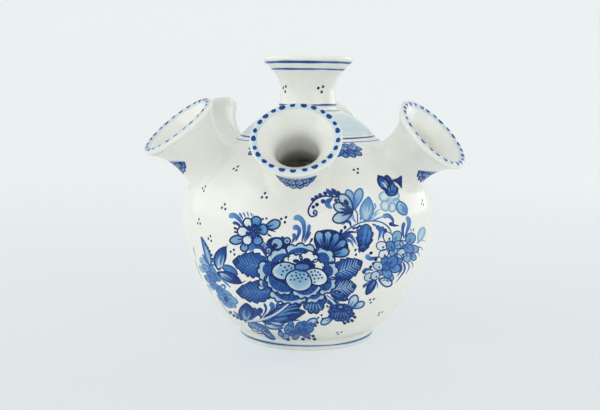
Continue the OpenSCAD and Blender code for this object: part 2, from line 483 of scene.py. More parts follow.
def make_body():
    inside = globe_outline(BODY_WALL)[::-1]
    top = [[NECK_BORE, SEAT_Z], [NECK_BORE, inside[0][1]]]
    under = [[0, FOOT_H], [FOOT_R - FOOT_W, FOOT_H]]
    outline = np.concatenate([under, globe_part, top, inside, [[0, inside[-1][1]]]])
    points, faces = spun(outline, steps=256)
    piece = new_piece("body_globe", points, faces, glaze, ["body"])
    bored(piece, [spout_place(i) for i in range(len(SIDES))], SPOUT_BORE + BORE_EASE, 2 * SUNK)
    paint_light_inside(piece)


def paint_light_inside(piece):
    """Gives the faces well under the body's outside a paler glaze, as painted light for the shade inside the
    globe.
    """
    piece.data.materials.append(lining_painted_light)
    for face in piece.data.polygons:
        x, y, z = face.center / MM
        if np.linalg.norm(outside - [math.hypot(x, y), z], axis=1).min() > BODY_WALL / 2:
            face.material_index = 1


def make_foot():
    inner = arc([FOOT_R - FOOT_W + FOOT_ROUND, FOOT_ROUND], FOOT_ROUND, 180, 270, steps=8)
    outline = np.concatenate([foot_part, [[FOOT_R - FOOT_W, foot_part[-1][1]]], inner])
    points, faces = spun(outline)
    new_piece("foot", points, faces, glaze, ["foot_ring"])


def neck_fillet(start, end):
    return arc([NECK_BASE_R + NECK_SLIP_W, SEAT_Z + NECK_SLIP_W], NECK_SLIP_W, start, end, steps=12)


def make_neck():
    points, faces = spun(neck_outline())
    new_piece("neck_tube", points, faces, glaze, ["neck"])
    outline = np.concatenate([neck_fillet(180, 270), [[NECK_BASE_R, SEAT_Z - NECK_SUNK]]])
    points, faces = spun(outline[::-1])
    new_piece("neck_joint", points, faces, glaze, ["neck_slip"])


def make_spout(i):
    points, faces = spun(spout_outline(SPOUT_STEM + SET_STEM[i]), spout_place(i), steps=144)
    new_piece(SIDES[i] + "_trumpet", points, faces, glaze, [SIDES[i] + "_spout"])
    points, faces, normals = slip_ring(SPOUT_R, spout_place(i), SLIP_REACH)
    new_piece(SIDES[i] + "_joint", points, faces, glaze, [SIDES[i] + "_slip"], normals)
    return points, faces


make_body()
make_foot()
make_neck()
joint_points, joint_faces = [], []
for i in range(len(SIDES)):
    points, faces = make_spout(i)
    joint_faces += [[k + len(joint_points) for k in face] for face in faces]
    joint_points += points.tolist()
draped = Draped(outside, joint_points, joint_faces)

# The camera that the photo was taken with, in mm and degrees, and the photo's frame in pixels
CAMERA_AT, CAMERA_HEADING, CAMERA_DIP, CAMERA_ROLL = (42.4, -568.9, 154.9), 4.7, 7.51, 0.33
CAMERA_LENS, SENSOR, FRAME_W, FRAME_H = 56.58, 36, 600, 410

# Brushwork. Each stroke is a thin closed patch that stands just proud of the glaze, in layers.
LIFT, LAYER, SINK = 0.03, 0.012, 0.06
FILL, SHADE, LINE, DOT, LEVEL = 0, 1, 2, 3, 3
LINE_W, GAP, FINE_GAP, JOINT_GAP, LIP_GAP = 0.88, 1.5, 0.9, 0.5, 0.28
# A photo pixel, in mm at the vase's front and towards its left side
PX, BUNCH_PX, BUNCH_STRETCH = 0.54, 0.68, 1.5
# Room round a patch in the sheet for textures, in mm, and the sheet's size over the patches' own
TILE_PAD, TILE_ROOM = 0.4, 1.15

# The least width of a stroke, in lines, and how much wider commas are laid
HAIR, COMMA_W = 0.08, 1.15
# The cut ends of dots and petals, in radians, and the points along them
DOT_END, DOT_STEPS, PETAL_END, PETAL_STEPS = 0.12, 11, 0.1, 13
# Florets, in radii: a pale one's eye, and a blue one's dark dab
EYE_TONE, BEAD_LINE, EYE_AT, EYE_R, EYE_DARK = 0.24, 0.62, 0.28, 0.24, 0.95
DAB_AT, DAB_R, DAB_DARKER, DAB_STRETCH = 0.45, 0.3, 0.2, 1.8
# A petal's vein, as shares of its length and width
VEIN_LONG, VEIN_WIDE = 0.62, 0.4
# Ruffled petals: points to a lobe and beside the lobes, how deep and how blunt the lobes are, and hatching
LOBE_STEPS, LOBE_REST, LOBE_DEEP, LOBE_BLUNT, RUFFLE_HATCH = 10, 9, 0.17, 0.55, 0.2
# Hatching across a petal's heart: its reach as a share of the width, its own width and its tone
HATCH_REACH, HATCH_W, HATCH_TONE = 0.36, 0.9, 0.95
# Leaves: points to a tooth, where teeth start, the edge's tone and weight, and the midrib's length and width
TOOTH_STEPS, TEETH_FROM, LEAF_DARKER, LEAF_LINE, MIDRIB, MIDRIB_W = 7, 0.12, 0.06, 0.7, 0.85, 0.22
# Veins of leaves: where they start and how far they spread, their reach, slant and bow, and points along them
VEINS_FROM, VEINS_SPREAD, VEIN_REACH, VEIN_SLANT, VEIN_BOW, VEIN_STEPS = 0.06, 0.7, 0.66, 0.9, 0.12, 7
# Dots in threes: their turns, how far apart they stand in radii, and their stretch and slant
THREE_TURNS, THREE_APART, THREE_STRETCH, THREE_SLANT = (90, 210, 330), 2.3, 1.2, 60


class Paint:
    """The brushwork on one turned surface, gathered into one piece."""

    def __init__(self, name, surface):
        self.name, self.surface = name, surface
        self.points, self.normals, self.tones, self.faces, self.tiles = [], [], [], [], []
        self.count = 0

    def patch(self, azimuth, run, tone, layer):
        """Adds a grid of surface points as a thin closed patch."""
        n, m = azimuth.shape
        top, normal = self.surface.at(azimuth, run, LIFT + LAYER * layer)
        low, _ = self.surface.at(azimuth, run, -SINK)
        grid = np.arange(n * m).reshape(n, m) + self.count
        a, b, c, d = grid[:-1, :-1], grid[1:, :-1], grid[1:, 1:], grid[:-1, 1:]
        upper = np.stack([a, b, c, d], -1).reshape(-1, 4)
        lower = np.stack([a, d, c, b], -1).reshape(-1, 4) + n * m
        rim = np.concatenate([grid[0, :-1], grid[:-1, -1], grid[-1, :0:-1], grid[:0:-1, 0]])
        after = np.roll(rim, -1)
        walls = np.stack([rim, after, after + n * m, rim + n * m], -1)
        faces = np.concatenate([upper, lower, walls])
        turned = np.cross(top[1:, :-1] - top[:-1, :-1], top[:-1, 1:] - top[:-1, :-1])
        self.faces.append(faces if np.sum(turned * normal[:-1, :-1]) > 0 else faces[:, ::-1])
        self.points += [top.reshape(-1, 3), low.reshape(-1, 3)]
        self.normals += [normal.reshape(-1, 3), -normal.reshape(-1, 3)]
        self.tones += [np.broadcast_to(tone, (n, m)).ravel()] * 2
        wide = np.linalg.norm(np.diff(top, axis=1), axis=2).sum(1).max()
        long = np.linalg.norm(np.diff(top, axis=0), axis=2).sum(0).max()
        self.tiles.append((n, m, float(long), float(wide)))
        self.count += 2 * n * m

    def tile_places(self):
        """Places every patch on one square, in rows, for textures."""
        total = sum((long + TILE_PAD) * (wide + TILE_PAD) for _, _, long, wide in self.tiles)
        longest = max(long for _, _, long, _ in self.tiles)
        side = max(TILE_ROOM * math.sqrt(total), longest + TILE_PAD)
        places, x, y, row = {}, 0.0, 0.0, 0.0
        for k in sorted(range(len(self.tiles)), key=lambda k: -self.tiles[k][3]):
            _, _, long, wide = self.tiles[k]
            if x + long + TILE_PAD > side:
                x, y, row = 0.0, y + row, 0.0
            places[k] = (x, y)
            x, row = x + long + TILE_PAD, max(row, wide + TILE_PAD)
        side = max(side, y + row)
        flat = []
        for k, (n, m, long, wide) in enumerate(self.tiles):
            u, v = np.meshgrid(np.linspace(0, long, n), np.linspace(0, wide, m), indexing="ij")
            tile = np.stack([u + places[k][0], v + places[k][1]], -1).reshape(-1, 2) / side
            flat += [tile, tile]
        return np.concatenate(flat)

    def finish(self):
        points, normals = np.concatenate(self.points), np.concatenate(self.normals)
        faces = np.concatenate(self.faces).tolist()
        piece = new_piece(self.name, points, faces, cobalt, (), normals)
        tone = piece.data.attributes.new("tone", "FLOAT", "POINT")
        tone.data.foreach_set("value", np.concatenate(self.tones).astype(np.float32))
        corner = np.zeros(len(piece.data.loops), np.int32)
        piece.data.loops.foreach_get("vertex_index", corner)
        sheet = piece.data.uv_layers.new(name="OFBake")
        sheet.data.foreach_set("uv", self.tile_places()[corner].astype(np.float32).ravel())


def smooth(points, gap):
    """A smooth curve through the points, with a point about every gap."""
    if len(points) == 2:
        count = max(3, math.ceil(np.linalg.norm(points[1] - points[0]) / gap) + 1)
        return np.linspace(points[0], points[1], count)
    ends = np.concatenate([[2 * points[0] - points[1]], points, [2 * points[-1] - points[-2]]])
    rows = []
    for a, b, c, d in zip(ends, ends[1:], ends[2:], ends[3:]):
        t = np.linspace(0, 1, max(3, math.ceil(np.linalg.norm(c - b) / gap) + 1))[:-1, None]
        rows.append(0.5 * (2 * b + (c - a) * t + (2 * a - 5 * b + 4 * c - d) * t**2
                           + (3 * b - a - 3 * c + d) * t**3))
    return np.concatenate([*rows, points[-1:]])


def even(t):
    """A stroke of one width, with round ends."""
    return np.minimum(1, np.minimum((t / 0.06 + 0.05) ** 0.5, ((1 - t) / 0.06 + 0.05) ** 0.5))


def comma(t):
    """A stroke that starts full and runs out to a hair."""
    return np.minimum(1, (t / 0.12 + 0.02) ** 0.5) * (1 - t) ** 0.6


def spindle(t):
    """A stroke that is fullest in its middle."""
    return np.sin(math.pi * np.clip(t, 0.01, 0.99)) ** 0.7


def wedge(t):
    """A stroke that widens from a point to a broad end."""
    return t**0.75


class Brush:
    """Lays strokes in a flat drawing whose places read() turns into spots on the surface."""

    def __init__(self, paint, read, unit, gap=GAP):
        self.paint, self.read, self.unit = paint, read, unit
        self.gap, self.fine, self.line_w = gap / unit, min(gap, FINE_GAP) / unit, LINE_W / unit

    def patch(self, xy, tone, layer):
        spots = self.read(xy.reshape(-1, 2)).reshape(xy.shape)
        self.paint.patch(spots[..., 0], spots[..., 1], tone, layer)

    def blade(self, spine, wide, tone, layer, across=2, edge=0.0):
        """A patch along a spine, this wide to each side. Gives back the loop of its edge."""
        along = np.gradient(spine, axis=0)
        along /= np.linalg.norm(along, axis=1)[:, None] + 1e-9
        side = np.stack([-along[:, 1], along[:, 0]], 1)
        wide = np.maximum(wide, HAIR * self.line_w)
        v = np.linspace(-1, 1, across)
        xy = spine[:, None] + (wide[:, None] * v)[..., None] * side[:, None]
        t = np.linspace(0, 1, len(spine))
        tones = np.interp(t, np.linspace(0, 1, np.size(tone)), np.atleast_1d(tone))
        self.patch(xy, tones[:, None] + edge * np.abs(v) ** 2, layer)
        return np.concatenate([xy[:, -1], xy[::-1, 0], xy[:1, -1]])

    def across(self, half):
        return max(3, math.ceil(2 * half / self.gap) + 1)

    def edge(self, loop, tone, layer, width=1.0):
        """A line along a row of places."""
        if tone is not None:
            self.blade(loop, np.full(len(loop), width * self.line_w / 2), tone, layer)

    def stroke(self, points, width, tone, layer=LINE, shape=even):
        spine = smooth(np.asarray(points, float), self.fine)
        t = run_of(spine) / run_of(spine)[-1]
        self.blade(spine, width / 2 * shape(t), tone, layer, self.across(width / 2))

    def strokes(self, paths, *shared):
        for points in paths:
            self.stroke(points, *shared)

    def commas(self, rows, layer=SHADE, shape=comma):
        for width, tone, *points in rows:
            self.stroke(points, COMMA_W * width, tone, layer, shape)

    def dot(self, point, radius, tone, layer=DOT, stretch=1.0, turn=0.0):
        """A round or oval touch of the brush."""
        t = -np.cos(np.linspace(DOT_END, math.pi - DOT_END, DOT_STEPS))
        spine = np.asarray(point, float) + (t * radius * stretch)[:, None] * unit(turn)
        return self.blade(spine, radius * np.sqrt(1 - t**2), tone, layer, self.across(radius))

    def dots(self, points, *shared):
        for point in points:
            self.dot(point, *shared)

    def disc(self, point, radius, tone, level=0, line=0.9, stretch=1.0, turn=0.0, weight=1.0):
        """A round petal with a line round it."""
        loop = self.dot(point, radius, tone, LEVEL * level + FILL, stretch, turn)
        self.edge(loop, line, LEVEL * level + LINE, weight)

    def bead(self, point, radius, tone, level, line, stretch, turn):
        """A round floret: pale with an eye, or blue with a dark dab at its base."""
        self.disc(point, radius, tone, level, line, stretch, turn, BEAD_LINE)
        spot, top = np.array(point, float), level * LEVEL + DOT
        if tone < EYE_TONE:
            self.dot(spot + EYE_AT * radius, EYE_R * radius, EYE_DARK, top)
            return
        dab = spot - DAB_AT * radius * unit(turn)
        self.dot(dab, DAB_R * radius, tone + DAB_DARKER, top, DAB_STRETCH, turn)

    def beads(self, rows, line, stretch, hearts):
        """Florets that point away from the nearest heart of their cluster."""
        for point, radius, tone, level in rows:
            heart = min(hearts, key=lambda heart: math.dist(heart, point))
            self.bead(point, radius, tone, level, line, stretch, bearing(heart, point))

    def petal(self, base, tip, half, tone, level=0, line=0.9, bend=0.0, full=0.6, vein=None,
              blunt=0.55, rim=0.05):
        """A petal, widest at full, with a line round it and a vein. tone runs from base to tip."""
        a, c = np.asarray(base, float), np.asarray(tip, float)
        b = (a + c) / 2 + bend * np.array([a[1] - c[1], c[0] - a[0]])
        count = max(PETAL_STEPS, math.ceil(np.linalg.norm(c - a) / self.gap))
        t = (1 - np.cos(np.linspace(PETAL_END, math.pi - PETAL_END, count))) / 2
        spine = ((1 - t) ** 2)[:, None] * a + (2 * t * (1 - t))[:, None] * b + (t**2)[:, None] * c
        wide = half * np.sin(math.pi * t ** (math.log(0.5) / math.log(full))) ** blunt
        loop = self.blade(spine, wide, tone, LEVEL * level + FILL, self.across(half), rim)
        self.edge(loop, line, LEVEL * level + LINE)
        if vein is not None:
            part = spine[: int(VEIN_LONG * count)]
            wide = VEIN_WIDE * half * comma(np.linspace(0, 1, len(part)))
            self.blade(part, wide, vein, LEVEL * level + SHADE)

    def petals(self, rows, *shared):
        for row in rows:
            self.petal(*row, *shared)

    def ruffle(self, base, tip, half, lobes, heart=0.9, rim=0.17, level=0, line=0.95, hatch=0,
               sweep=100, deep=0.7):
        """A ruffled petal: a dark heart within a pale lobed rim."""
        a, c = np.asarray(base, float), np.asarray(tip, float)
        out = c - a
        side = np.array([-out[1], out[0]]) / np.linalg.norm(out) * half
        n = LOBE_STEPS * lobes + LOBE_REST
        u = np.linspace(0, 1, n)
        turn = np.radians(sweep) * (2 * u - 1)
        lobe = np.abs(np.sin(math.pi * lobes * u)) ** LOBE_BLUNT
        # Rows of points from base to rim, as shares of the reach, and the tone of each
        q = np.array([0.08, 0.3, 0.5, deep - 0.05, deep + 0.03, 0.88, 1.0])
        tone = np.array([heart, heart, heart - 0.02, heart - 0.06, rim + 0.08, rim, rim + 0.05])
        reach = q * (1 - LOBE_DEEP * (1 - lobe[:, None]) * q**3)
        rays = np.cos(turn)[:, None] * out + np.sin(turn)[:, None] * side
        xy = a + reach[..., None] * rays[:, None]
        self.patch(xy, np.broadcast_to(tone, (n, len(q))), LEVEL * level + FILL)
        self.edge(np.concatenate([xy[:1, 0], xy[:, -1], xy[-1:, 0]]), line, LEVEL * level + LINE)
        for k in range(hatch):
            ray = xy[int((k + 0.5) * n / hatch)]
            part = smooth(ray[[1, 4]], self.fine)
            wide = RUFFLE_HATCH / self.unit * spindle(np.linspace(0, 1, len(part)))
            self.blade(part, wide, 0.5 * (heart + rim), LEVEL * level + SHADE)

    def crescent(self, path, width, tone, layer, hatch):
        """The curved heart of a petal, with dark hatching across it."""
        spine = smooth(np.asarray(path, float), self.fine)
        t = run_of(spine) / run_of(spine)[-1]
        self.blade(spine, width / 2 * spindle(t), tone, layer, self.across(width / 2))
        along = np.gradient(spine, axis=0)
        for k in range(1, hatch):
            i = round(k / hatch * (len(spine) - 1))
            side = np.array([-along[i, 1], along[i, 0]]) / np.linalg.norm(along[i])
            side *= HATCH_REACH * width * spindle(t[i])
            self.stroke([spine[i] - side, spine[i] + side], HATCH_W, HATCH_TONE, layer + SHADE, spindle)

    def leaf(self, base, tip, half, tone, level=0, teeth=5, veins=6, bend=0.0, vein_tone=0.55, cut=0.2,
             vein=0.19):
        """A dark toothed leaf with paler veins."""
        a, c = np.asarray(base, float), np.asarray(tip, float)
        span = c - a
        b = (a + c) / 2 + bend * np.array([-span[1], span[0]])
        count = max(TOOTH_STEPS * teeth, math.ceil(np.linalg.norm(span) / self.gap))
        spine, t = bezier(a, b, c, count), np.linspace(0, 1, count)
        body = np.sin(math.pi * np.clip(t, 0.01, 0.99) ** 0.85) ** 0.68
        wide = half * body * (1 - cut * np.mod(teeth * t, 1) * (t > TEETH_FROM))
        loop = self.blade(spine, wide, tone, LEVEL * level + FILL, self.across(half), 0.05)
        self.edge(loop, min(1.0, np.max(tone) + LEAF_DARKER), LEVEL * level + LINE, LEAF_LINE)
        along = span / np.linalg.norm(span)
        side = np.array([-along[1], along[0]])
        for k in range(veins):
            i = int((VEINS_FROM + VEINS_SPREAD * k / max(1, veins - 1)) * count)
            room = VEIN_REACH * half * body[i]
            for way in (-1, 1):
                end = spine[i] + room * (VEIN_SLANT * along + way * side)
                middle = (spine[i] + end) / 2 + VEIN_BOW * room * along
                wide = vein / self.unit * comma(np.linspace(0, 1, VEIN_STEPS))
                self.blade(bezier(spine[i], middle, end, VEIN_STEPS), wide, vein_tone, LEVEL * level + SHADE)
        part = spine[: int(MIDRIB * count)]
        wide = MIDRIB_W / self.unit * comma(np.linspace(0, 1, len(part)))
        self.blade(part, wide, vein_tone, LEVEL * level + SHADE)

    def there(self, point):
        """A brush in mm about a place of this drawing."""
        azimuth, run = self.read(np.array([point], float))[0]
        return Brush(self.paint, near(self.paint.surface, math.degrees(azimuth), run), 1)

    def three_dots(self, point, radius, tone=0.92, turn=0.0):
        for k in THREE_TURNS:
            spot = np.array(point) + THREE_APART * radius * unit(k + turn)
            self.dot(spot, radius, tone, DOT, THREE_STRETCH, THREE_SLANT)


# The search for the globe's near side: its range from the camera, in mm, its steps and halvings
LOOK_FROM, LOOK_TO, LOOK_STEPS, LOOK_HALVINGS = 470, 600, 66, 14


def camera_axes():
    heading, dip = math.radians(CAMERA_HEADING), math.radians(CAMERA_DIP)
    level = np.array([-math.sin(heading), math.cos(heading), 0])
    ahead = level * math.cos(dip) - [0, 0, math.sin(dip)]
    right = np.array([math.cos(heading), math.sin(heading), 0])
    up = np.cross(right, ahead)
    roll = math.radians(CAMERA_ROLL)
    return ahead, right * math.cos(roll) + up * math.sin(roll), up * math.cos(roll) - right * math.sin(roll)


def seen(points):
    """Spots on the globe behind places in the photo's frame, as (azimuth, run)."""
    ahead, right, up = camera_axes()
    focal = CAMERA_LENS / SENSOR * FRAME_W
    across, down = (points - [FRAME_W / 2, FRAME_H / 2]).T[:, :, None] / focal
    rays = ahead + across * right - down * up

    def gap_at(far):
        spots = np.array(CAMERA_AT)[:, None, None] + rays.T[:, :, None] * far
        height = np.clip(spots[2], skin.outline[0, 1], skin.outline[-1, 1])
        return np.hypot(spots[0], spots[1]) - np.interp(height, skin.outline[:, 1], skin.outline[:, 0])

    steps = np.linspace(LOOK_FROM, LOOK_TO, LOOK_STEPS)
    gap = gap_at(steps[None, :])
    hit = np.where((gap < 0).any(1), (gap < 0).argmax(1), gap.argmin(1))
    low, high = steps[np.maximum(hit - 1, 0)][:, None], steps[hit][:, None]
    meets = (gap < 0).any(1)[:, None]
    for _ in range(LOOK_HALVINGS):
        middle = (low + high) / 2
        inside = gap_at(middle) < 0
        low, high = np.where(inside, low, middle), np.where(inside, middle, high)
    far = np.where(meets, high, steps[hit][:, None])
    p = np.array(CAMERA_AT) + rays * far
    for k, ray in enumerate(rays):
        spot = draped.over.ray_cast(Vector(CAMERA_AT), Vector(ray))[0]
        if spot and np.dot(np.array(spot) - CAMERA_AT, ahead) < far[k]:
            p[k] = onto_shoulder(np.array(spot))
    return np.stack([np.arctan2(p[:, 0], -p[:, 1]), np.interp(p[:, 2], skin.outline[:, 1], skin.run)], 1)


# Tones of petals, from base to tip
BLUE, PALE = (0.9, 0.6, 0.44, 0.4), (0.36, 0.2, 0.15, 0.18)
WHITE, DEEP = (0.6, 0.12, 0.04, 0.06), (0.95, 0.9, 0.88)


def circle(centre, count, start, wide, high=None):
    """Places at even turns about a centre, from a start in degrees."""
    reach = np.array([wide, high or wide])
    return [centre + reach * unit(start + 360 / count * k) for k in range(count)]


def draw(b, rows):
    """Lays the marks of a table. Each row has a mark of the brush, and then its values."""
    for mark, *values in rows:
        mark(b, *values)


# The brush's marks, as the tables name them
petal, petals, leaf, ruffle, disc, beads = (
    Brush.petal, Brush.petals, Brush.leaf, Brush.ruffle, Brush.disc, Brush.beads
)
stroke, strokes, commas = Brush.stroke, Brush.strokes, Brush.commas
dot, dots, three_dots = Brush.dot, Brush.dots, Brush.three_dots

# The front's painting, in pixels of the photo's frame, as rows for draw()
LEAVES = [
    (leaf, (269, 269), (233, 261.5), 13.5, (0.8, 0.78, 0.9), 0, 6, 9, 0.05, 0.46),
    (leaf, (273, 292), (236.5, 291.5), 11.8, (0.82, 0.8, 0.9), 0, 5, 10, 0.0, 0.46),
    (leaf, (332, 274), (362, 261.5), 11.5, (0.86, 0.8, 0.9), 0, 5, 8, 0.05, 0.26, 0.2, 0.25),
    (leaf, (329, 290), (356, 286), 11.0, (0.86, 0.82, 0.9), 0, 5, 8, 0.0, 0.22, 0.2, 0.27),
    (leaf, (331, 293), (348, 299.5), 5.0, (0.85, 0.9), 0, 4, 3),
]

ROUND_AT, ROUND_MIDDLE = (341, 312.5), (341, 312)
STALK = [(325, 296), (332, 301), (338.5, 308.5)]
LOWER_SPRAYS = [
    (leaf, (263, 321), (305, 312), 8.4, (0.8, 0.88, 0.92), 0, 3, 0, -0.05),
    (leaf, (272, 317), (302, 303), 8.0, (0.88, 0.9, 0.92), 0, 4, 0, -0.05),
    (commas, [
        (1.3, 0.5, (272, 318.5), (286, 313.5), (300, 312)),
        (1.3, 0.5, (277, 315.5), (289, 309.5), (301, 307.5)),
        (1.1, 0.5, (284, 311), (290, 306.5), (296, 304.5)),
    ], LEVEL, spindle),
    (petal, (270, 320.5), (291, 317.5), 2.4, (0.5, 0.62), 1, 0.9, 0.0, 0.5, None, 0.8),
    (petal, (246.5, 321), (246, 303.5), 7.2, (0.6, 0.82, 0.92), 0, 0.95, 0.0, 0.5, None, 0.75),
    (commas, [
        (3.0, (0.3, 0.5), (246, 320), (243.5, 314), (245, 309)),
        (2.4, (0.35, 0.5), (247, 320), (249.5, 315), (248.5, 311)),
    ], LINE),
    (commas, [
        (6.4, (0.92, 0.8), (263, 310), (258, 312), (250, 320.5)),
        (2.6, (0.85, 0.7), (264, 303), (266, 310), (260, 320)),
        (3.6, 0.85, (253.5, 307.5), (255.5, 312), (251, 319)),
        (5.0, (0.6, 0.72, 0.9), (270.5, 302), (272.5, 309), (264.5, 319)),
        (5.2, (0.62, 0.85), (277.5, 302.5), (277.5, 309), (268, 318.5)),
        (5.0, (0.8, 0.9), (284, 303), (283, 309), (273, 317)),
        (2.6, 0.9, (258, 314), (261, 316.5), (259.5, 320)),
    ]),
    (stroke, [(246, 321.5), (262, 319.5), (276, 313.5), (289, 303.5)], 1.8, 0.1, LEVEL + DOT),
    (stroke, [(244, 322), (262, 321), (280, 321.5), (300, 320)], 1.2, 0.9, LEVEL),
    (ruffle, (314, 297), (313.5, 313.8), 12.5, 6, 0.92, 0.66, 0, 0.97, 11, 95, 0.82),
    (strokes, [
        [(309.5, 303), (305, 310)], [(311.5, 303), (309, 310)], [(313.5, 303), (313, 310)],
        [(315.5, 303), (317, 310)], [(317.5, 303), (321, 310)],
    ], 1.1, 0.35, DOT, spindle),
    (stroke, STALK, 4.2, 0.93, FILL),
    (stroke, STALK, 2.2, 0.14, SHADE),
    (petal, (348.5, 309), (356.5, 295.3), 4.2, PALE, 0, 0.78, 0.03, 0.62, 0.55),
    (petal, (352, 308), (364.2, 302.6), 3.0, PALE, 0, 0.78, 0.03, 0.62, 0.55),
    (petal, (333, 318), (321, 323.8), 3.0, PALE, 0, 0.78, 0.05, 0.62, 0.55),
    (petals, [(ROUND_AT, tip, 3.8, (0.9, 0.74, 0.62)) for tip in circle(ROUND_AT, 10, 10, 12.2, 8.4)],
     1, 0.93, 0, 0.66, 0.9),
    (dot, ROUND_MIDDLE, 4.0, 0.9, 2 * LEVEL, 1.5),
    (disc, (340.5, 306.8), 2.0, 0.4, 2, 0.93, 1.3),
    (strokes, [
        [(334, 316.5), (337.5, 312)], [(337.5, 316.5), (339.25, 312)], [(341, 316.5), ROUND_MIDDLE],
        [(344.5, 316.5), (342.75, 312)], [(348, 316.5), (344.5, 312)],
    ], 0.9, 0.5, 2 * LEVEL + DOT, spindle),
    (dots, [
        (353, 313.5), (354.5, 317), (352, 320.5), (348, 321.5), (344.5, 323), (329.5, 312), (330, 316.5),
        (331, 307.5),
    ], 1.5, 0.93, DOT, 1.4, 25),
    (commas, [
        (4.2, 0.88, (327, 301), (331, 304), (331.5, 310)),
        (2.8, 0.88, (333, 300), (337, 302), (340, 305)),
        (2.6, 0.9, (326.5, 305), (328.5, 308)),
    ]),
    (dots, [(318.3, 317.6), (321.6, 315.2), (322.6, 318.6)], 1.1, 0.93),
]


def fan_tone(tone):
    return 0.95, tone + 0.3, tone, tone - 0.06


FAN_FLOWER = [
    (petal, (325, 257), (336, 231.5), 17.5, DEEP, 1, 0.97, 0.0, 0.55),
    (petals, [
        ((328.5, 252), (338, 233), 4.2, fan_tone(0.5)), ((324, 250), (318, 231.5), 4.8, fan_tone(0.34)),
        ((330, 253), (345.8, 240.5), 4.0, fan_tone(0.46)),
        ((326.5, 250), (328.3, 230.8), 4.7, fan_tone(0.36)),
        ((330, 255.5), (349, 250.5), 4.7, fan_tone(0.38)),
    ], 2, 0.99, 0.0, 0.68, 0.92),
    (ruffle, (321.5, 253.5), (320, 247.6), 4.4, 3, 0.5, 0.12, 3),
    (dots, [(334, 231.8), (340.5, 233.5)], 1.6, 0.98, 3 * LEVEL),
]

BUD_STALK = [(259.5, 238), (263, 243), (268, 248.5)]
BUD = [
    (dot, (276.5, 244), 7.2, 0.93, FILL, 1.45),
    (dot, (284.5, 245), 4.0, 0.93, FILL, 1.5),
    (disc, (277, 243.6), 5.6, 0.3, 1, 0.98, 1.08),
    (dot, (275.2, 245.6), 2.3, 0.97, LEVEL + DOT, 1.15),
    (disc, (287, 241), 3.4, 0.28, 1, 0.97),
    (dot, (287, 241.3), 1.1, 0.9, LEVEL + DOT),
    (disc, (268.5, 250.5), 3.0, 0.28, 1, 0.97),
    (dot, (268.5, 250.8), 1.1, 0.9, LEVEL + DOT),
    (dots, [(270.8, 240), (282.5, 237.6), (269, 243.2)], 1.5, 0.97),
    (stroke, BUD_STALK, 3.2, 0.88, SHADE),
    (stroke, BUD_STALK, 1.0, 0.25, LINE),
]

# The peony's petals: level, lobes as (x, y, radius), the heart's path and width, and its hatching
PEONY_AT = (300, 268)
PEONY = [
    (1, [(273, 294.5, 3.6), (278.5, 298, 3.8), (285, 300, 3.8), (292, 300.8, 3.6), (299, 300.5, 3.6),
         (304.5, 299, 3)], [(272.5, 291), (283, 296.3), (293, 297.3), (306, 295.5)], 7.5, 14),
    (1, [(309, 299.8, 3.2), (315, 299.5, 3.6), (321, 296.5, 3.6)],
     [(307, 296), (315, 296), (322, 291.5)], 6.5, 5),
    (1, [(262, 282.5, 3.4), (261.3, 287, 3.2)], [(266, 279), (265, 284), (266.5, 289)], 6, 4),
    (3, [(291, 249.5, 5), (300.5, 247.8, 4.8), (309.5, 249.2, 4.8)],
     [(286, 255.5), (293, 251.6), (302, 250.2), (314, 253)], 5.6, 12),
    (3, [(271, 258.5, 3.6), (275.5, 254.2, 4.2), (283, 252.2, 4.2)],
     [(270.5, 263), (277, 258.3), (284, 256), (291, 257)], 6.4, 7),
    (3, [(320.6, 250.6, 4.4), (329, 254.5, 4.4), (331.3, 260, 3.6)],
     [(319, 253), (323.5, 257), (327, 265)], 10, 5),
    (3, [(263, 265.5, 4.2), (260.8, 270.8, 3.8), (263, 276, 4)],
     [(269.5, 262), (266.8, 269), (269, 276)], 8.5, 6),
    (3, [(332, 265.5, 3.8), (334.8, 270.5, 3.8), (332, 276, 3.8)],
     [(326, 264), (329.3, 271), (326.5, 278)], 8, 6),
    (3, [(322.5, 291.5, 3.2), (328, 289.5, 3.6), (332.3, 285.5, 3.6), (332.8, 280.5, 3.2)],
     [(320.5, 289), (326, 286.5), (330.5, 279)], 9, 6),
    (3, [(268, 278.5, 3.6), (271, 284, 3.8), (275.5, 288.5, 3.8), (281.5, 291, 3.8), (287.5, 291.5, 3.4)],
     [(269, 275.5), (274, 283), (281.5, 287.5), (292, 290.5)], 9, 9),
    (3, [(296, 292.5, 3.4), (301.5, 295, 3.6), (308, 294.5, 3.6), (314, 292, 3.4), (318, 288.5, 3)],
     [(293, 288.5), (302, 291.5), (310, 290.5), (319, 285)], 7, 10),
]
PEONY_RIM, PEONY_HEART = 0.2, (0.86, 0.78, 0.86)
# Lobes: the line's tone, how far in the band that joins them lies, and its width, in radii
LOBE_LINE, LOBE_INSET, LOBE_BAND = 0.96, 0.45, 1.7
PEONY_GROUND = [
    (dot, (300, 270), 25, 0.95, FILL, 1.25),
    (dot, (291, 286), 13.5, 0.95, FILL, 1.7),
]
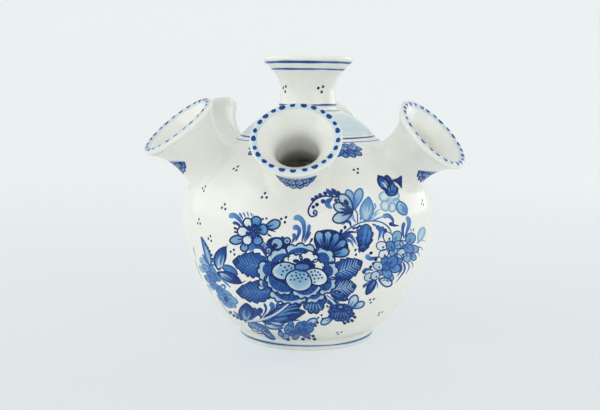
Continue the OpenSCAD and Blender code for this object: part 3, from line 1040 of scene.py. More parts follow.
# White petals round the peony's middle: lobes, and an eye as place, radius and stretch
WHITE_RIM, WHITE_LEVEL, WHITE_EYE, WHITE_SLANT = 0.05, 5, 0.98, 5
WHITE_PETALS = [
    ([(287.6, 260.2, 4.1), (292.4, 257.6, 4.2), (298.2, 258.2, 3.9)], (296.2, 260.9), 2.0, 1.7),
    ([(304, 256.8, 4.2), (309.4, 255, 4.3), (314.4, 258.2, 4.0)], (306.8, 260.2), 2.4, 1.6),
    ([(316.6, 263, 4.0), (320.6, 265.6, 4.0), (320.4, 269.4, 3.4)], (313.2, 265.4), 2.0, 1.2),
]
BIG_PETAL = (0.98, 0.0, 0.56, None, 0.52, -0.16)
STAMENS = [
    (281, 265), (285, 267), (289, 265.5), (293, 264), (291.5, 268), (287, 270), (283, 271), (293.5, 270.5),
    (288.5, 273.2), (281.8, 274.5), (292, 275.5), (296, 272.2), (300, 270.6), (304, 271), (296.4, 275.4),
    (300, 274), (304, 274.2), (308, 276), (298, 278), (302, 277.5), (306, 279), (294.5, 279.5), (300, 281.2),
    (290.8, 279.4), (311.5, 271.6), (314.8, 270.6), (318, 272), (312.6, 275), (316, 275), (320, 274.4),
    (314.4, 278.6), (318.4, 278), (322, 277.4), (314.6, 282),
]
# The pale lines on the peony's middle: the first one's x, their spacing and number, and y at both ends
RIB_X, RIB_GAP, RIBS, RIB_FOOT, RIB_TOP = 296.5, 1.6, 8, 268.4, 264.8
PEONY_MIDDLE = [
    (petal, (300, 269.5), (271.8, 271.8), 8.9, (0.4, 0.35, 0.27, 0.1), 7, *BIG_PETAL),
    (petal, (304, 272), (327.2, 280.5), 8.4, (0.37, 0.24, 0.14, 0.08), 7, *BIG_PETAL),
    (petal, (302, 268.5), (296, 290.5), 13.4, (0.41, 0.35, 0.27, 0.1), 8, *BIG_PETAL),
    (dots, STAMENS, 1.0, 0.98, 8 * LEVEL + SHADE),
    (disc, (302.3, 266.6), 3.9, 0.7, 9, 0.98, 1.95),
    (strokes, [[(x, RIB_FOOT), (x + 0.3, RIB_TOP)] for x in (RIB_X + RIB_GAP * k for k in range(RIBS))],
     0.7, 0.42, 9 * LEVEL + DOT, spindle),
]


def lobed(b, lobes, tone, level):
    """The scalloped edge of a petal, open towards the peony's middle."""
    for x, y, r in lobes:
        b.disc((x, y), r, tone, level, LOBE_LINE)
    lobes = np.array(lobes)
    inward = PEONY_AT - lobes[:, :2]
    inward /= np.linalg.norm(inward, axis=1)[:, None]
    path = lobes[:, :2] + LOBE_INSET * lobes[:, 2:] * inward
    b.stroke(path, LOBE_BAND * lobes[:, 2].mean(), tone, level * LEVEL + DOT)


def peony(b):
    draw(b, PEONY_GROUND)
    for level, lobes, path, width, hatch in PEONY:
        lobed(b, lobes, PEONY_RIM, level)
        b.crescent(path, width, PEONY_HEART, level * LEVEL + DOT + SHADE, hatch)
    for lobes, spot, r, stretch in WHITE_PETALS:
        lobed(b, lobes, WHITE_RIM, WHITE_LEVEL)
        b.dot(spot, r, WHITE_EYE, WHITE_LEVEL * LEVEL + DOT + SHADE, stretch, WHITE_SLANT)
    draw(b, PEONY_MIDDLE)


PLUME = [
    (commas, [
        (5.6, (0.42, 0.5, 0.75, 0.9), (293.5, 219.5), (298, 217.5), (303, 222), (304.2, 232), (301.5, 243)),
        (5.0, (0.45, 0.7, 0.9), (293, 229.5), (296.5, 227), (299.3, 231.5), (295.5, 242)),
        (4.2, (0.6, 0.88), (292, 234.5), (294.5, 235.5), (294, 239), (291.5, 243.5)),
        (3.6, (0.5, 0.8, 0.9), (309.3, 224), (308.3, 231), (303.5, 242.5)),
        (2.4, (0.6, 0.9), (310.5, 231.5), (308.5, 236.5), (304.5, 243)),
        (2.4, 0.92, (312.5, 238), (311, 241), (309, 244.5)),
    ]),
]

SIX_AT, SIX_OUTER = (253.7, 231.3), (0.85, 0.42, 0.34, 0.3)
SIX_PETALS = [
    (petals, [
        ((251, 230), (245.8, 218.5), 4.4, WHITE), ((255, 229), (257, 216.5), 4.9, BLUE),
        ((256, 231), (267.5, 228.5), 5.4, BLUE), ((256, 233), (258.7, 245), 4.9, BLUE),
        ((252, 234), (244.5, 244), 5.0, WHITE), ((251, 231.5), (237.3, 231.5), 5.0, WHITE),
    ], 1, 0.95, 0.0, 0.66),
    (strokes, [[SIX_AT, tip] for tip in circle(SIX_AT, 6, 15, 8)], 4.0, 0.93, 2 * LEVEL, comma),
    (dot, SIX_AT, 4.3, 0.93, 2 * LEVEL),
    (dots, circle(SIX_AT, 6, -15, 6.6, 6.2), 1.7, 0.95, 2 * LEVEL + DOT),
    (dots, circle(SIX_AT, 4, 0, 2.2), 0.5, 0.5, 2 * LEVEL + DOT),
    (petal, (264, 228), (280, 222), 4.7, SIX_OUTER, 0, 0.96, 0.03, 0.64, 0.92),
    (petal, (248.5, 237.5), (229.8, 240.8), 4.4, SIX_OUTER, 0, 0.96, -0.03, 0.64, 0.92),
    (petal, (246.5, 241.5), (243.2, 251.3), 3.9, SIX_OUTER, 0, 0.96, 0, 0.64, 0.92),
    (commas, [
        (5.4, (0.42, 0.6, 0.9), (229, 217.5), (233.5, 215.2), (239, 219), (245, 228)),
        (3.6, (0.75, 0.93), (232.5, 223), (237, 223.5), (243, 229.5)),
        (3.0, 0.95, (233.5, 227.5), (238, 229.5)),
        (2.8, 0.95, (234, 231.5), (237.5, 233)), (2.6, (0.45, 0.85), (239.3, 212.5), (243, 219.5)),
        (2.0, (0.4, 0.8), (243, 212), (245.8, 218)), (1.9, (0.4, 0.7), (247, 211.5), (248.8, 217)),
        (1.9, (0.5, 0.8), (250.5, 212.5), (252.5, 217)), (1.4, 0.5, (253, 214), (254.2, 217)),
        (2.6, 0.93, (267.5, 228.5), (276, 232)), (2.3, 0.95, (267.3, 234), (272, 237)),
        (6.4, (0.5, 0.86, 0.92), (249.5, 251), (253.5, 246), (262, 248), (267.5, 259)),
    ]),
    (dots, [(262.8, 219), (266.5, 218.5)], 1.2, 0.85),
]

FERN = [
    (stroke, [
        (344, 195.5), (335, 197), (325, 196), (316, 199), (310, 206), (308.3, 212), (311, 216.3),
        (315.8, 215.4), (316.8, 212), (314.5, 210.2), (312.8, 212.2),
    ], 1.8, (0.95, 0.9)),
    (dot, (314, 213.3), 1.5, 0.85),
    (dots, [(313, 199.7), (316.5, 197.2), (320.3, 195.2)], 2.0, 0.93, DOT, 1.2, 40),
    (dot, (325, 193.3), 1.8, 0.93, DOT, 1.2, 40),
    (commas, [
        (4.0, (0.75, 0.95), (326, 188.5), (329, 192), (333.5, 196)),
        (4.2, (0.88, 0.96), (331.5, 188.3), (334.5, 192), (338, 196.5)),
        (2.8, 0.93, (337.5, 190.5), (340.5, 196)), (2.2, 0.9, (323.5, 191.5), (327, 195)),
    ], SHADE, spindle),
    (dot, (313.3, 207), 1.8, 0.93), (dot, (317, 204.6), 2.0, 0.93), (dot, (323, 201.3), 2.3, 0.86),
    (dot, (336, 200.3), 2.1, 0.9),
    (stroke, [(333, 198), (327.5, 202), (328.5, 206), (332.5, 208.5)],
     5.6, (0.85, 0.7, 0.45), SHADE, spindle),
]

BELL_AT, BELL_BACK, BELL_FRONT = (352.5, 211.6), (0.6, 0.4, 0.28, 0.22), (0.9, 0.3, 0.18, 0.16)
BELL = [
    (petal, (353.5, 210), (347.2, 190), 4.2, BELL_BACK, 0, 0.62, 0.06, 0.66, 0.5),
    (petal, (354.5, 210), (360.8, 188.8), 4.4, BELL_BACK, 0, 0.62, -0.04, 0.66, 0.5),
    (dot, (353.5, 206), 2.6, 0.55, SHADE, 1.5, 90),
    (petal, (353, 210), (339.3, 195), 5.0, BELL_FRONT, 1, 0.95, 0.05, 0.62),
    (petal, (353, 212), (333.8, 205), 5.0, BELL_FRONT, 1, 0.95, -0.02, 0.62),
    (petal, (352.5, 213), (332.8, 219.8), 5.4, BELL_FRONT, 1, 0.95, -0.05, 0.62),
    (dot, (346.3, 202.3), 2.0, 0.95, LEVEL + DOT, 1.7, 52),
    (strokes, [[BELL_AT, (339.5, 208.3)], [BELL_AT, (340.5, 213)]], 4.6, 0.94, LEVEL + DOT, comma),
    (strokes, [[BELL_AT, (341, 216.3)], [BELL_AT, (343.5, 205.5)]], 3.4, 0.94, LEVEL + DOT, comma),
    (dot, (349, 210.8), 3.0, 0.94, LEVEL + DOT, 1.4, 20),
    (stroke, [(354.5, 209), (357.3, 214), (357.5, 223)], 1.3, 0.75),
    (commas, [
        (3.6, (0.3, 0.45), (352, 213.5), (353, 218), (356, 223)),
        (2.0, 0.35, (349.5, 215), (350, 218.5), (351.5, 221)), (1.8, 0.8, (360.6, 216.5), (360.4, 221)),
    ]),
]

RIGHT_STEM = [
    (stroke, [
        (340.5, 235.5), (348.5, 229.3), (358, 223.6), (367, 221.2), (377, 221.2), (384, 223.6), (389, 228),
        (391.7, 233),
    ], 1.4, (0.92, 0.8, 0.62, 0.7, 0.92)),
    (petal, (365.2, 220.5), (368.7, 197), 6.6, (0.25, 0.3, 0.42, 0.5), 0, 0.52, 0.0, 0.42, 0.2, 0.75),
    (commas, [
        (1.6, 0.18, (365.5, 216), (363.5, 210), (365, 204)),
        (1.6, 0.18, (366.5, 216), (370.5, 210), (371, 204)),
        (2.0, 0.36, (374, 203), (375.5, 207), (371, 213)),
    ]),
    (leaf, (366.5, 224.5), (362.5, 251.8), 8.8, (0.6, 0.72, 0.9, 0.93), 1, 4, 3, 0.0, 0.5, 0.24),
    (commas, [
        (3.0, (0.5, 0.6), (366, 228), (364.5, 236), (362, 244)),
        (2.8, (0.52, 0.62), (369.5, 230), (369, 237), (366, 244)),
    ], LEVEL + LINE),
    (commas, [
        (3.6, (0.92, 0.85), (342, 237), (349, 232.3), (358.5, 232.3)),
        (5.0, (0.9, 0.5), (342.5, 238.5), (350, 235.6), (357, 245)),
        (3.4, (0.75, 0.4), (346, 240), (351, 241.5), (353.5, 247.5)),
        (4.6, (0.45, 0.8, 0.9), (341.5, 224.5), (345, 220.8), (349.8, 222.6), (351, 228)),
        (2.6, 0.85, (352, 229), (357, 227.4), (359.5, 229.5)),
        (1.9, (0.4, 0.26), (366, 221), (372, 218.3), (380, 211.5)),
        (2.2, (0.3, 0.22), (373.5, 215.5), (377, 211), (382, 208.3)),
        (1.9, (0.45, 0.36), (372, 221), (380, 217.6), (389, 215.3)),
        (4.8, (0.42, 0.62, 0.85), (382.5, 217), (388, 215.5), (392.5, 219.5), (393.5, 225)),
        (3.8, 0.88, (389, 223), (394, 225.3), (399, 225.6)),
        (4.4, (0.72, 0.55), (376, 225.5), (380.3, 231), (378, 241)),
        (3.8, (0.75, 0.55), (381, 226.5), (384, 231.5), (382, 238)),
        (5.0, (0.42, 0.66, 0.85), (366, 254.5), (370, 258.6), (380, 256.8)),
        (2.4, 0.85, (361, 225), (358, 227.5), (356, 232)),
        (2.4, 0.7, (372, 224), (376.5, 226), (378, 229)),
    ]),
    (dots, [(345, 227.4), (341.3, 231)], 1.5, 0.93, DOT, 1.35, 110),
    (dot, (385.6, 230.4), 1.5, 0.93, DOT, 1.35, 80),
    (dot, (371, 253), 1.5, 0.93, DOT, 1.35, 150),
    (dot, (359.5, 249), 1.5, 0.93, DOT, 1.35, 120),
]

# Clusters of florets: places, radii, tones and levels, and the hearts that the florets grow from
SNOW, SOFT, MID, RICH = 0.06, 0.17, 0.322, 0.518
FLORET_HEARTS = [(391.5, 247.5), (385, 268.5), (407, 247.5)]
FLORET_BEADS = [
    ((394, 252.8), 4.6, MID, 0), ((396.6, 236.8), 4.9, MID, 0), ((398.6, 244.6), 3.9, MID, 1),
    ((388, 237.5), 4.6, SNOW, 1), ((381.8, 246), 4.5, SNOW, 1), ((383.6, 254), 4.2, SNOW, 1),
    ((390.4, 245.8), 4.2, RICH, 2), ((410.5, 238.6), 4.8, 0.406, 0), ((414, 249), 3.8, 0.385, 0),
    ((403.8, 244.4), 3.6, SOFT, 1), ((408.5, 248.5), 4.2, 0.49, 2), ((401.5, 253.5), 4.3, SOFT, 1),
    ((407, 257.2), 4.0, 0.32, 1), ((413, 257), 3.0, 0.4, 0), ((397.5, 259), 4.6, 0.56, 1),
    ((392, 261.5), 5.0, 0.588, 2), ((385.5, 262), 4.6, 0.546, 1), ((378, 266), 4.0, SOFT, 2),
    ((394.5, 268), 4.8, 0.504, 1), ((387, 272.5), 4.6, 0.434, 1), ((386, 266.5), 3.4, 0.56, 2),
    ((375.2, 275.6), 3.9, SOFT, 2), ((369, 277), 4.0, SOFT, 1), ((381, 271.5), 3.6, 0.42, 0),
    ((390, 277), 3.4, 0.385, 0),
]
FLORETS = [
    (beads, FLORET_BEADS, 0.9, 1.24, FLORET_HEARTS),
    (commas, [
        (4.6, (0.4, 0.55, 0.8), (407, 216), (409, 224), (404.5, 238)),
        (3.6, (0.66, 0.84), (404.2, 222), (402.6, 230), (404, 239)),
        (2.8, (0.85, 0.7), (362.5, 287), (368, 283.4), (376, 280.5)),
        (4.0, (0.85, 0.6), (363, 274), (366, 269.5), (374, 270.3)),
        (2.2, (0.8, 0.6), (403, 261.5), (404.5, 270), (395.5, 283)),
        (1.7, 0.6, (406.8, 261.5), (409.2, 267), (406, 274)),
        (2.4, 0.8, (400, 263), (401.5, 269), (396.5, 277)),
        (1.6, 0.5, (410.5, 261), (413, 265), (412, 268)),
        (1.8, 0.5, (417, 243.5), (421, 240), (426, 241.5)),
        (1.7, 0.45, (417, 247), (421, 247.5), (423, 251)),
        (1.6, 0.4, (416.5, 251), (419, 254), (419, 257)),
        (1.5, 0.7, (410.5, 228.5), (411.5, 232)), (1.5, 0.6, (413.3, 228), (413.5, 231.5)),
        (2.2, (0.5, 0.4), (374, 280.5), (377, 283), (377.5, 289)),
        (2.0, 0.6, (371, 281), (366, 286), (362.5, 288.5)),
    ]),
    (petal, (418.5, 242), (423.5, 227.5), 3.0, (0.14, 0.2), 0, 0.34),
    (petal, (375.5, 280), (366.2, 294.3), 3.2, (0.75, 0.9), 1, 0.95, 0.0, 0.5, 0.5, 0.75),
    (petal, (379, 279.5), (391.8, 284), 4.4, WHITE, 0, 0.9, 0.0, 0.6),
    (stroke, [(382, 280.5), (386, 280), (389, 283)], 1.3, 0.75, DOT, spindle),
    (dots, [(375.8, 259.6), (373.5, 263.5), (370.6, 267)], 1.5, 0.93, DOT, 1.3, 130),
]

FOOT_HEARTS = [(298, 331), (284, 336)]
FOOT_BEADS = [
    ((289, 328.5), 4.2, 0.504, 0), ((308, 329), 4.2, 0.6048, 0), ((299.5, 327.5), 4.4, 0.6216, 1),
    ((296, 334.6), 3.8, 0.5544, 0), ((285.5, 336.4), 2.8, 0.336, 0), ((281, 334), 2.2, 0.42, 1),
    ((306, 334.5), 3.0, 0.6552, 1), ((291, 323.8), 2.4, 0.504, 1), ((302.5, 332.5), 3.0, 0.7056, 2),
    ((292.5, 333), 2.6, 0.672, 1), ((303.5, 323.6), 2.2, 0.5544, 0),
]
FOOT_SPRAYS = [
    (leaf, (248.5, 323), (271, 334), 4.7, (0.56, 0.7, 0.78), 0, 4, 6, 0.02, 0.3, 0.2),
    (leaf, (263.5, 331.5), (275, 339.4), 2.7, (0.78, 0.6), 1, 3, 3, 0.0, 0.3, 0.15),
    (petal, (283, 328), (265, 324.5), 3.0, PALE, 0, 0.72, 0.0, 0.62, 0.5),
    (petal, (284, 325), (270, 321.5), 2.2, PALE, 1, 0.72, 0.0, 0.62),
    (petal, (305, 324), (317, 319.6), 2.8, PALE, 1, 0.75, 0.0, 0.62, 0.5),
    (beads, FOOT_BEADS, 0.86, 1.35, FOOT_HEARTS),
    (dots, [
        (309, 338), (313, 336), (314.5, 339), (303, 339), (280, 331), (288, 339.5), (311, 323.5),
        (315, 325.5),
        (317, 322.5),
    ], 1.4, 0.9, DOT, 1.5, 10),
]


# Pale florets under the butterfly: place, radius, stretch and turn, then their tones and the eye's size
PALE_FLORETS = [
    ((384, 196.5), 4.6, 1.0, 0), ((394.5, 196), 4.4, 1.0, 0), ((385.3, 206), 4.4, 1.1, 60),
    ((392, 207.3), 3.8, 1.15, 90), ((396.6, 202), 2.9, 1.3, 80),
]
PALE_TONE, PALE_LINE, PALE_EYE, PALE_EYE_R = 0.1, 0.3, 0.07, 0.45
BUTTERFLY = [
    (dot, (390.5, 200.5), 3.2, 0.18, LEVEL, 1.3, 60),
    (dots, [(388, 200), (391.5, 203), (393.5, 200.5)], 1.3, 0.28, LEVEL + SHADE),
    (petal, (398.5, 201.5), (406, 214.5), 4.8, (0.2, 0.22, 0.3, 0.42), 1, 0.6, 0.08, 0.5, None, 0.6),
    (stroke, [(400, 205), (402.5, 206), (404, 208)], 1.2, 0.58, LEVEL + DOT),
    (dot, (404, 209.6), 2.1, 0.5, LEVEL + DOT, 1.5, 75),
    (petal, (389.5, 191.5), (378.6, 176.6), 4.4, (0.86, 0.8, 0.9), 2, 0.97, 0, 0.55),
    (petal, (390.3, 190), (386, 175.8), 3.4, (0.9, 0.88), 2, 0.97, 0, 0.62),
    (petal, (391.6, 195.6), (391.2, 180), 6.0, (0.84, 0.8, 0.92), 2, 0.97, 0, 0.38),
    (dot, (378.4, 176), 1.0, 0.95, 2 * LEVEL, 1.3, 40),
    (stroke, [(392.4, 180), (397.5, 181.6), (402, 181.8)], 13, (0.94, 0.92), 3 * LEVEL, wedge),
    (stroke, [(393.6, 181.8), (400.8, 189)], 2.4, 0.06, 3 * LEVEL + SHADE, spindle),
    (commas, [
        (1.3, 0.5, (380, 181.2), (384, 186.2)), (2.0, 0.16, (382.3, 182), (387, 188.4)),
        (1.2, 0.34, (383.6, 180.4), (388, 185.4)), (1.0, 0.6, (379.6, 184), (383.2, 187.6)),
        (1.3, 0.5, (391.6, 191), (392, 184)), (1.3, 0.5, (394.6, 191.5), (395.2, 186.5)),
        (1.2, 0.5, (389.2, 192.5), (389, 187)), (1.2, 0.55, (389, 194.2), (394, 194.4)),
    ], 2 * LEVEL + DOT, spindle),
]


def butterfly(b):
    for spot, r, stretch, turn in PALE_FLORETS:
        b.disc(spot, r, PALE_TONE, 0, PALE_LINE, stretch, turn)
        b.dot(spot, PALE_EYE_R * r, PALE_EYE, SHADE, stretch, turn)
    draw(b, BUTTERFLY)


# The bunch on the left: leaves, beads as place, radius, tone and level, and what lies over them
LEFT_LEAVES = [
    (petal, (219, 270), (225.6, 247), 5.6, (0.4, 0.56, 0.84, 0.93), 1, 0.93, -0.2, 0.5, None, 0.8),
    (stroke, [(223.6, 250.5), (226, 248), (227.6, 244.2)], 1.8, 0.85, LEVEL, comma),
    (commas, [
        (3.0, (0.14, 0.3), (219, 268.5), (218.6, 261), (221, 255)),
        (2.2, (0.16, 0.36), (221, 267.5), (223, 261), (223.6, 255)),
        (1.8, (0.4, 0.7), (217.5, 266), (216.5, 260), (218, 255)),
    ], LEVEL + DOT),
    (petal, (217, 272.5), (241, 283), 4.5, (0.5, 0.75, 0.93, 0.92), 1, 0.93, -0.06, 0.55, None, 0.75),
    (stroke, [(236, 281.8), (241, 282.8), (246, 280.6)], 2.2, 0.92, LEVEL, comma),
    (commas, [
        (2.4, (0.16, 0.45), (220, 274), (226, 275.6), (232, 279.4)),
        (1.4, (0.3, 0.5), (221, 276), (226, 278.6), (230.5, 281.4)),
    ], LEVEL + DOT),
    (petal, (221.5, 266), (237.5, 274.3), 3.4, (0.5, 0.62), 0, 0.8, -0.08, 0.5, None, 0.8),
    (petal, (210.5, 266), (201.3, 237), 2.4, (0.2, 0.26, 0.6), 0, 0.72, 0.05, 0.4, None, 0.9),
]
LEFT_BEADS = [
    ((203, 262), 3.8, 0.36, 0), ((206, 269), 4.2, 0.5, 1), ((201.5, 269), 3.0, 0.34, 0),
    ((211, 269.5), 4.2, 0.6, 0), ((211.5, 276.5), 4.8, 0.68, 2), ((207.5, 279), 3.6, 0.56, 0),
    ((216.5, 277.5), 3.6, 0.62, 0), ((214, 285), 4.4, 0.64, 1), ((218, 288), 3.8, 0.62, 0),
    ((211.5, 287), 2.8, 0.36, 0), ((226.5, 294.5), 4.6, 0.52, 0), ((231.2, 299.5), 4.8, 0.48, 1),
    ((222, 298.5), 4.2, 0.54, 0), ((227, 304), 4.2, 0.54, 0), ((232.5, 305), 2.8, 0.5, 1),
    ((219.5, 292.5), 3.0, 0.58, 1),
]
# How much lighter a bead is than its tone, and how much darker its line
BEAD_LIGHTER, BEAD_DARKER = 0.12, 0.14
LEFT_STEMS = [
    (dot, (226.5, 299), 2.4, 0.84, 2 * LEVEL, 1.3, 60),
    (commas, [
        (2.6, 0.6, (202, 254), (205, 258), (207.5, 264)),
        (1.6, 0.5, (220, 277.5), (226, 283), (231, 288)),
        (2.2, (0.5, 0.8), (233, 311), (240, 316.5), (247, 321)),
    ], SHADE, spindle),
]
# Blades of grass near the left edge: a place in pixels, then half the length and the width in mm
EDGE_BLADES = [
    ((194, 251), 3.2, 1.2, (0.62, 0.45)), ((198, 269.5), 7.5, 1.3, (0.45, 0.32)),
    ((209, 288.5), 4.0, 1.5, (0.42, 0.3)), ((222.5, 305), 9.0, 1.1, (0.34, 0.38)),
]
BLADE_BOW = 0.8
LEFT_BERRIES = [
    (disc, (223, 287), 2.2, 0.12, 0, 0.55),
    (disc, (213, 263.2), 1.9, 0.12, 0, 0.7),
    (dots, [(205.5, 244.5), (207.7, 247.8), (209.6, 251.2), (211.5, 255), (212.4, 259)],
     1.15, 0.92, DOT, 1.2, 60),
    (dots, [(230.5, 312.5), (234, 315.5), (237.5, 317.5), (241, 319)], 1.4, 0.9, DOT, 1.3, 40),
]


def left_bunch(b):
    draw(b, LEFT_LEAVES)
    for spot, r, tone, level in LEFT_BEADS:
        inner, line = tone - BEAD_LIGHTER, tone + BEAD_DARKER
        b.there(spot).bead((0, 0), BUNCH_PX * r, inner, level, line, BUNCH_STRETCH, 0)
    draw(b, LEFT_STEMS)
    for spot, reach, width, tone in EDGE_BLADES:
        blade = [(BLADE_BOW, reach), (0, 0), (BLADE_BOW, -reach)]
        b.there(spot).stroke(blade, width, tone, SHADE, spindle)
    draw(b, LEFT_BERRIES)


# Threes of dots between the flowers: place, and turn in degrees
DOT_R = 0.68
DOT_SPOTS = [
    (264.5, 196, 0), (236, 168.5, 20), (224, 207, 10), (199, 222, 0), (210, 238.5, 20), (233, 252, 30),
    (284, 219.5, 40), (204, 188.5, 30), (357, 252, 80), (371.5, 300.5, 60), (380, 313.5, 60), (339, 333, 60),
    (422.5, 203, 20), (356.5, 170.5, 50),
]


def front_spray(b):
    draw(b, LEAVES + LOWER_SPRAYS + FAN_FLOWER + BUD)
    peony(b)
    draw(b, PLUME + SIX_PETALS + FERN + BELL + RIGHT_STEM + FLORETS + FOOT_SPRAYS)
    butterfly(Brush(b.paint, b.read, b.unit, JOINT_GAP))
    for x, y, turn in DOT_SPOTS:
        b.there((x, y)).three_dots((0, 0), DOT_R, turn=-turn)


def turned_view(turn, flip=1):
    """Reads places in the photo's frame, carried round the vase."""
    def read(points):
        spots = seen(points)
        return np.stack([math.radians(turn) + flip * spots[:, 0], spots[:, 1]], 1)
    return read


def near(surface, azimuth, run):
    """Reads places in mm about a spot: round the surface, and along its outline."""
    def read(points):
        y = np.clip(run + points[:, 1], 0, surface.run[-1])
        return np.stack([math.radians(azimuth) + points[:, 0] / surface.radius(y), y], 1)
    return read


# Points round a line or a wash, how a line's middle wavers in mm, its width swells and its tone changes,
# and a wash's broad and fine streaks
ROUND_STEPS, WAVER, SWELL, RING_TONE, STREAK, FINE_STREAK = 241, 0.12, 0.18, 0.06, 0.012, 0.008


def ring(paint, run, width, tone, layer=LINE):
    """A line turned round the vase by hand."""
    a = np.linspace(0, 2 * math.pi, ROUND_STEPS)
    middle = run + WAVER * (np.sin(2 * a + run) + 0.6 * np.sin(5 * a + 2 * run))
    wide = width / 2 * (1 + SWELL * np.sin(3 * a + run) + 0.1 * np.sin(11 * a))
    v = np.array([-1, 0, 1])
    tones = tone + RING_TONE * np.sin(4 * a + run)[:, None] * np.ones(3)
    paint.patch(np.repeat(a[:, None], 3, 1), middle[:, None] + wide[:, None] * v, tones, layer)


def band(paint, low, high, tones, gap=GAP):
    """A wash turned round the vase, with tones from its lower edge to its upper one."""
    a = np.linspace(0, 2 * math.pi, ROUND_STEPS)
    count = max(4, math.ceil(abs(high - low) / gap))
    run = np.linspace(low, high, count)
    tone = np.interp(np.linspace(0, 1, count), np.linspace(0, 1, len(tones)), tones)
    streak = STREAK * np.sin(3 * a[:, None] + run) + FINE_STREAK * np.sin(9 * a[:, None] + 3 * run)
    paint.patch(np.repeat(a[:, None], count, 1), np.repeat(run[None], ROUND_STEPS, 0), tone + streak, FILL)


# The lace crescent on a spout, in mm about the lower side of its stem: its ground, then rounds with
# eyes and a fringe of dots, smaller rounds above them, and what lies over them
LACE_GROUND = [(petal, (-11.6, 6.6), (11.6, 6.6), 3.8, 0.3, 0, None, 0.1, 0.5, None, 0.7)]
LACE = [(-8.2, 4.9), (-5.2, 2.9), (-1.8, 1.7), (1.8, 1.7), (5.2, 2.9), (8.2, 4.9)]
LACE_R, LACE_TONES, LACE_EYE, LACE_FRINGE, LACE_SPREAD = 1.9, (0.26, 0.42), 0.4, 2.3, 1.04
LACE_INNER = [((-5.8, 6.0), 1.5), ((-2.2, 4.9), 1.7), ((1.7, 4.9), 1.7), ((5.5, 6.0), 1.5)]
LACE_OVER = [
    (dots, [
        (-8.8, 6.9), (8.8, 6.9), (-3.9, 7.4), (0, 7.2), (3.7, 7.4), (0, 3.6), (-3.6, 3.4), (3.6, 3.4),
    ], 0.8, 0.92, 3 * LEVEL, 1.5, 20),
    (stroke, [(-11.4, 6.7), (-6, 8.2), (0, 8.9), (6, 8.2), (11.4, 6.7)], 0.8, (0.8, 0.92, 0.8), 3 * LEVEL),
    (strokes, [[(way * 11.8, 7.0), (way * 10, 4.6), (way * 7.2, 2.2)] for way in (-1, 1)],
     1.3, 0.85, 2 * LEVEL, comma),
]


def lambrequin(b):
    draw(b, LACE_GROUND)
    for k, (x, y) in enumerate(LACE):
        b.disc((x, y), LACE_R, LACE_TONES[k % 2], 1, 0.88)
        b.dot((x, y + LACE_EYE), 0.75, 0.93, 2 * LEVEL, 1.2)
        b.dot((LACE_SPREAD * x, y - LACE_FRINGE), 0.5, 0.9)
    for spot, r in LACE_INNER:
        b.disc(spot, r, 0.16, 2, 0.86, 1.25)
        b.dot(spot, 0.7, 0.92, 2 * LEVEL + DOT, 1.3)
    draw(b, LACE_OVER)


# A dark spray that hangs from the shoulder's lines, in mm, and its places as azimuth and height
PENDANT_TONE, PENDANT_LOBES = (0.8, 0.42), (-5.4, 0, 5.4)
PENDANT = [
    (petals, [
        ((-1, 0), (-11, -5.5), 2.6, PENDANT_TONE), ((1, 0), (11, -5.5), 2.6, PENDANT_TONE),
        ((-1, -2), (-8, -11), 2.8, PENDANT_TONE), ((1, -2), (8, -11), 2.8, PENDANT_TONE),
        ((0, -2), (-2.8, -12.5), 2.6, PENDANT_TONE), ((0, -2), (2.8, -12.5), 2.6, PENDANT_TONE),
    ], 0, 0.88, 0.0, 0.6, 0.88),
    *[(ruffle, (x, 0.8), (1.1 * x, -5.6), 3.9, 3, 0.66, 0.2, 1, 0.84, 5) for x in PENDANT_LOBES],
    (dots, [(-2.7, -2.2), (2.7, -2.2), (0, -8), (-5.6, -7), (5.6, -7)], 1.0, 0.95, 2 * LEVEL, 1.2),
]
PENDANTS = [(29, 119), (88, 115), (144, 119), (208, 119), (268, 115), (336, 119)]

# A small flower with leaves, in mm, for the sides that the photo leaves out, its dots and its places
SPRIG_AT, SPRIG_W, SPRIG_TONE = (0, 0), 2.4, (0.5, 0.85)
SPRIG_PETALS = zip(circle(SPRIG_AT, 6, 30, 1.5), circle(SPRIG_AT, 6, 30, 8))
SPRIG = [
    (petals, [(base, tip, 2.9, BLUE) for base, tip in SPRIG_PETALS], 1, 0.95, 0.0, 0.66),
    (dot, SPRIG_AT, 2.4, 0.93, 2 * LEVEL),
    (strokes, [[SPRIG_AT, tip] for tip in circle(SPRIG_AT, 6, 0, 4.4)], 1.7, 0.93, 2 * LEVEL, comma),
    (leaf, (-4, -6), (-17, -13), 4.6, (0.88, 0.9), 0, 5, 5),
    (leaf, (4, -6), (16, -15), 4.6, (0.88, 0.9), 0, 5, 5),
    (stroke, [(0, -6), (2, -14), (-2, -24)], 0.8, 0.85),
    (commas, [
        (SPRIG_W, SPRIG_TONE, (9, -26), (9, -19), (1, -12)),
        (SPRIG_W, SPRIG_TONE, (-11, -25), (-9, -19), (0, -14)),
        (SPRIG_W, SPRIG_TONE, (-12, 9), (-8, 12), (-3, 6)),
        (SPRIG_W, SPRIG_TONE, (12, 9), (9, 12), (4, 6)),
    ]),
    (petal, (2, 6), (6, 17), 2.8, PALE, 0, 0.7, 0.0, 0.6, 0.5),
    (petal, (-2, 6), (-6, 17), 2.8, PALE, 0, 0.7, 0.0, 0.6, 0.5),
    *[(three_dots, spot, DOT_R, 0.92, 20) for spot in ((-15, 2), (15, 0), (-13, -30), (13, -32), (0, 24))],
]
SPRIGS = [(100, 84), (113, 44), (264, 84), (254, 44)]

# Where the front's painting is carried to on the back, in degrees
BACK_TURN = 182
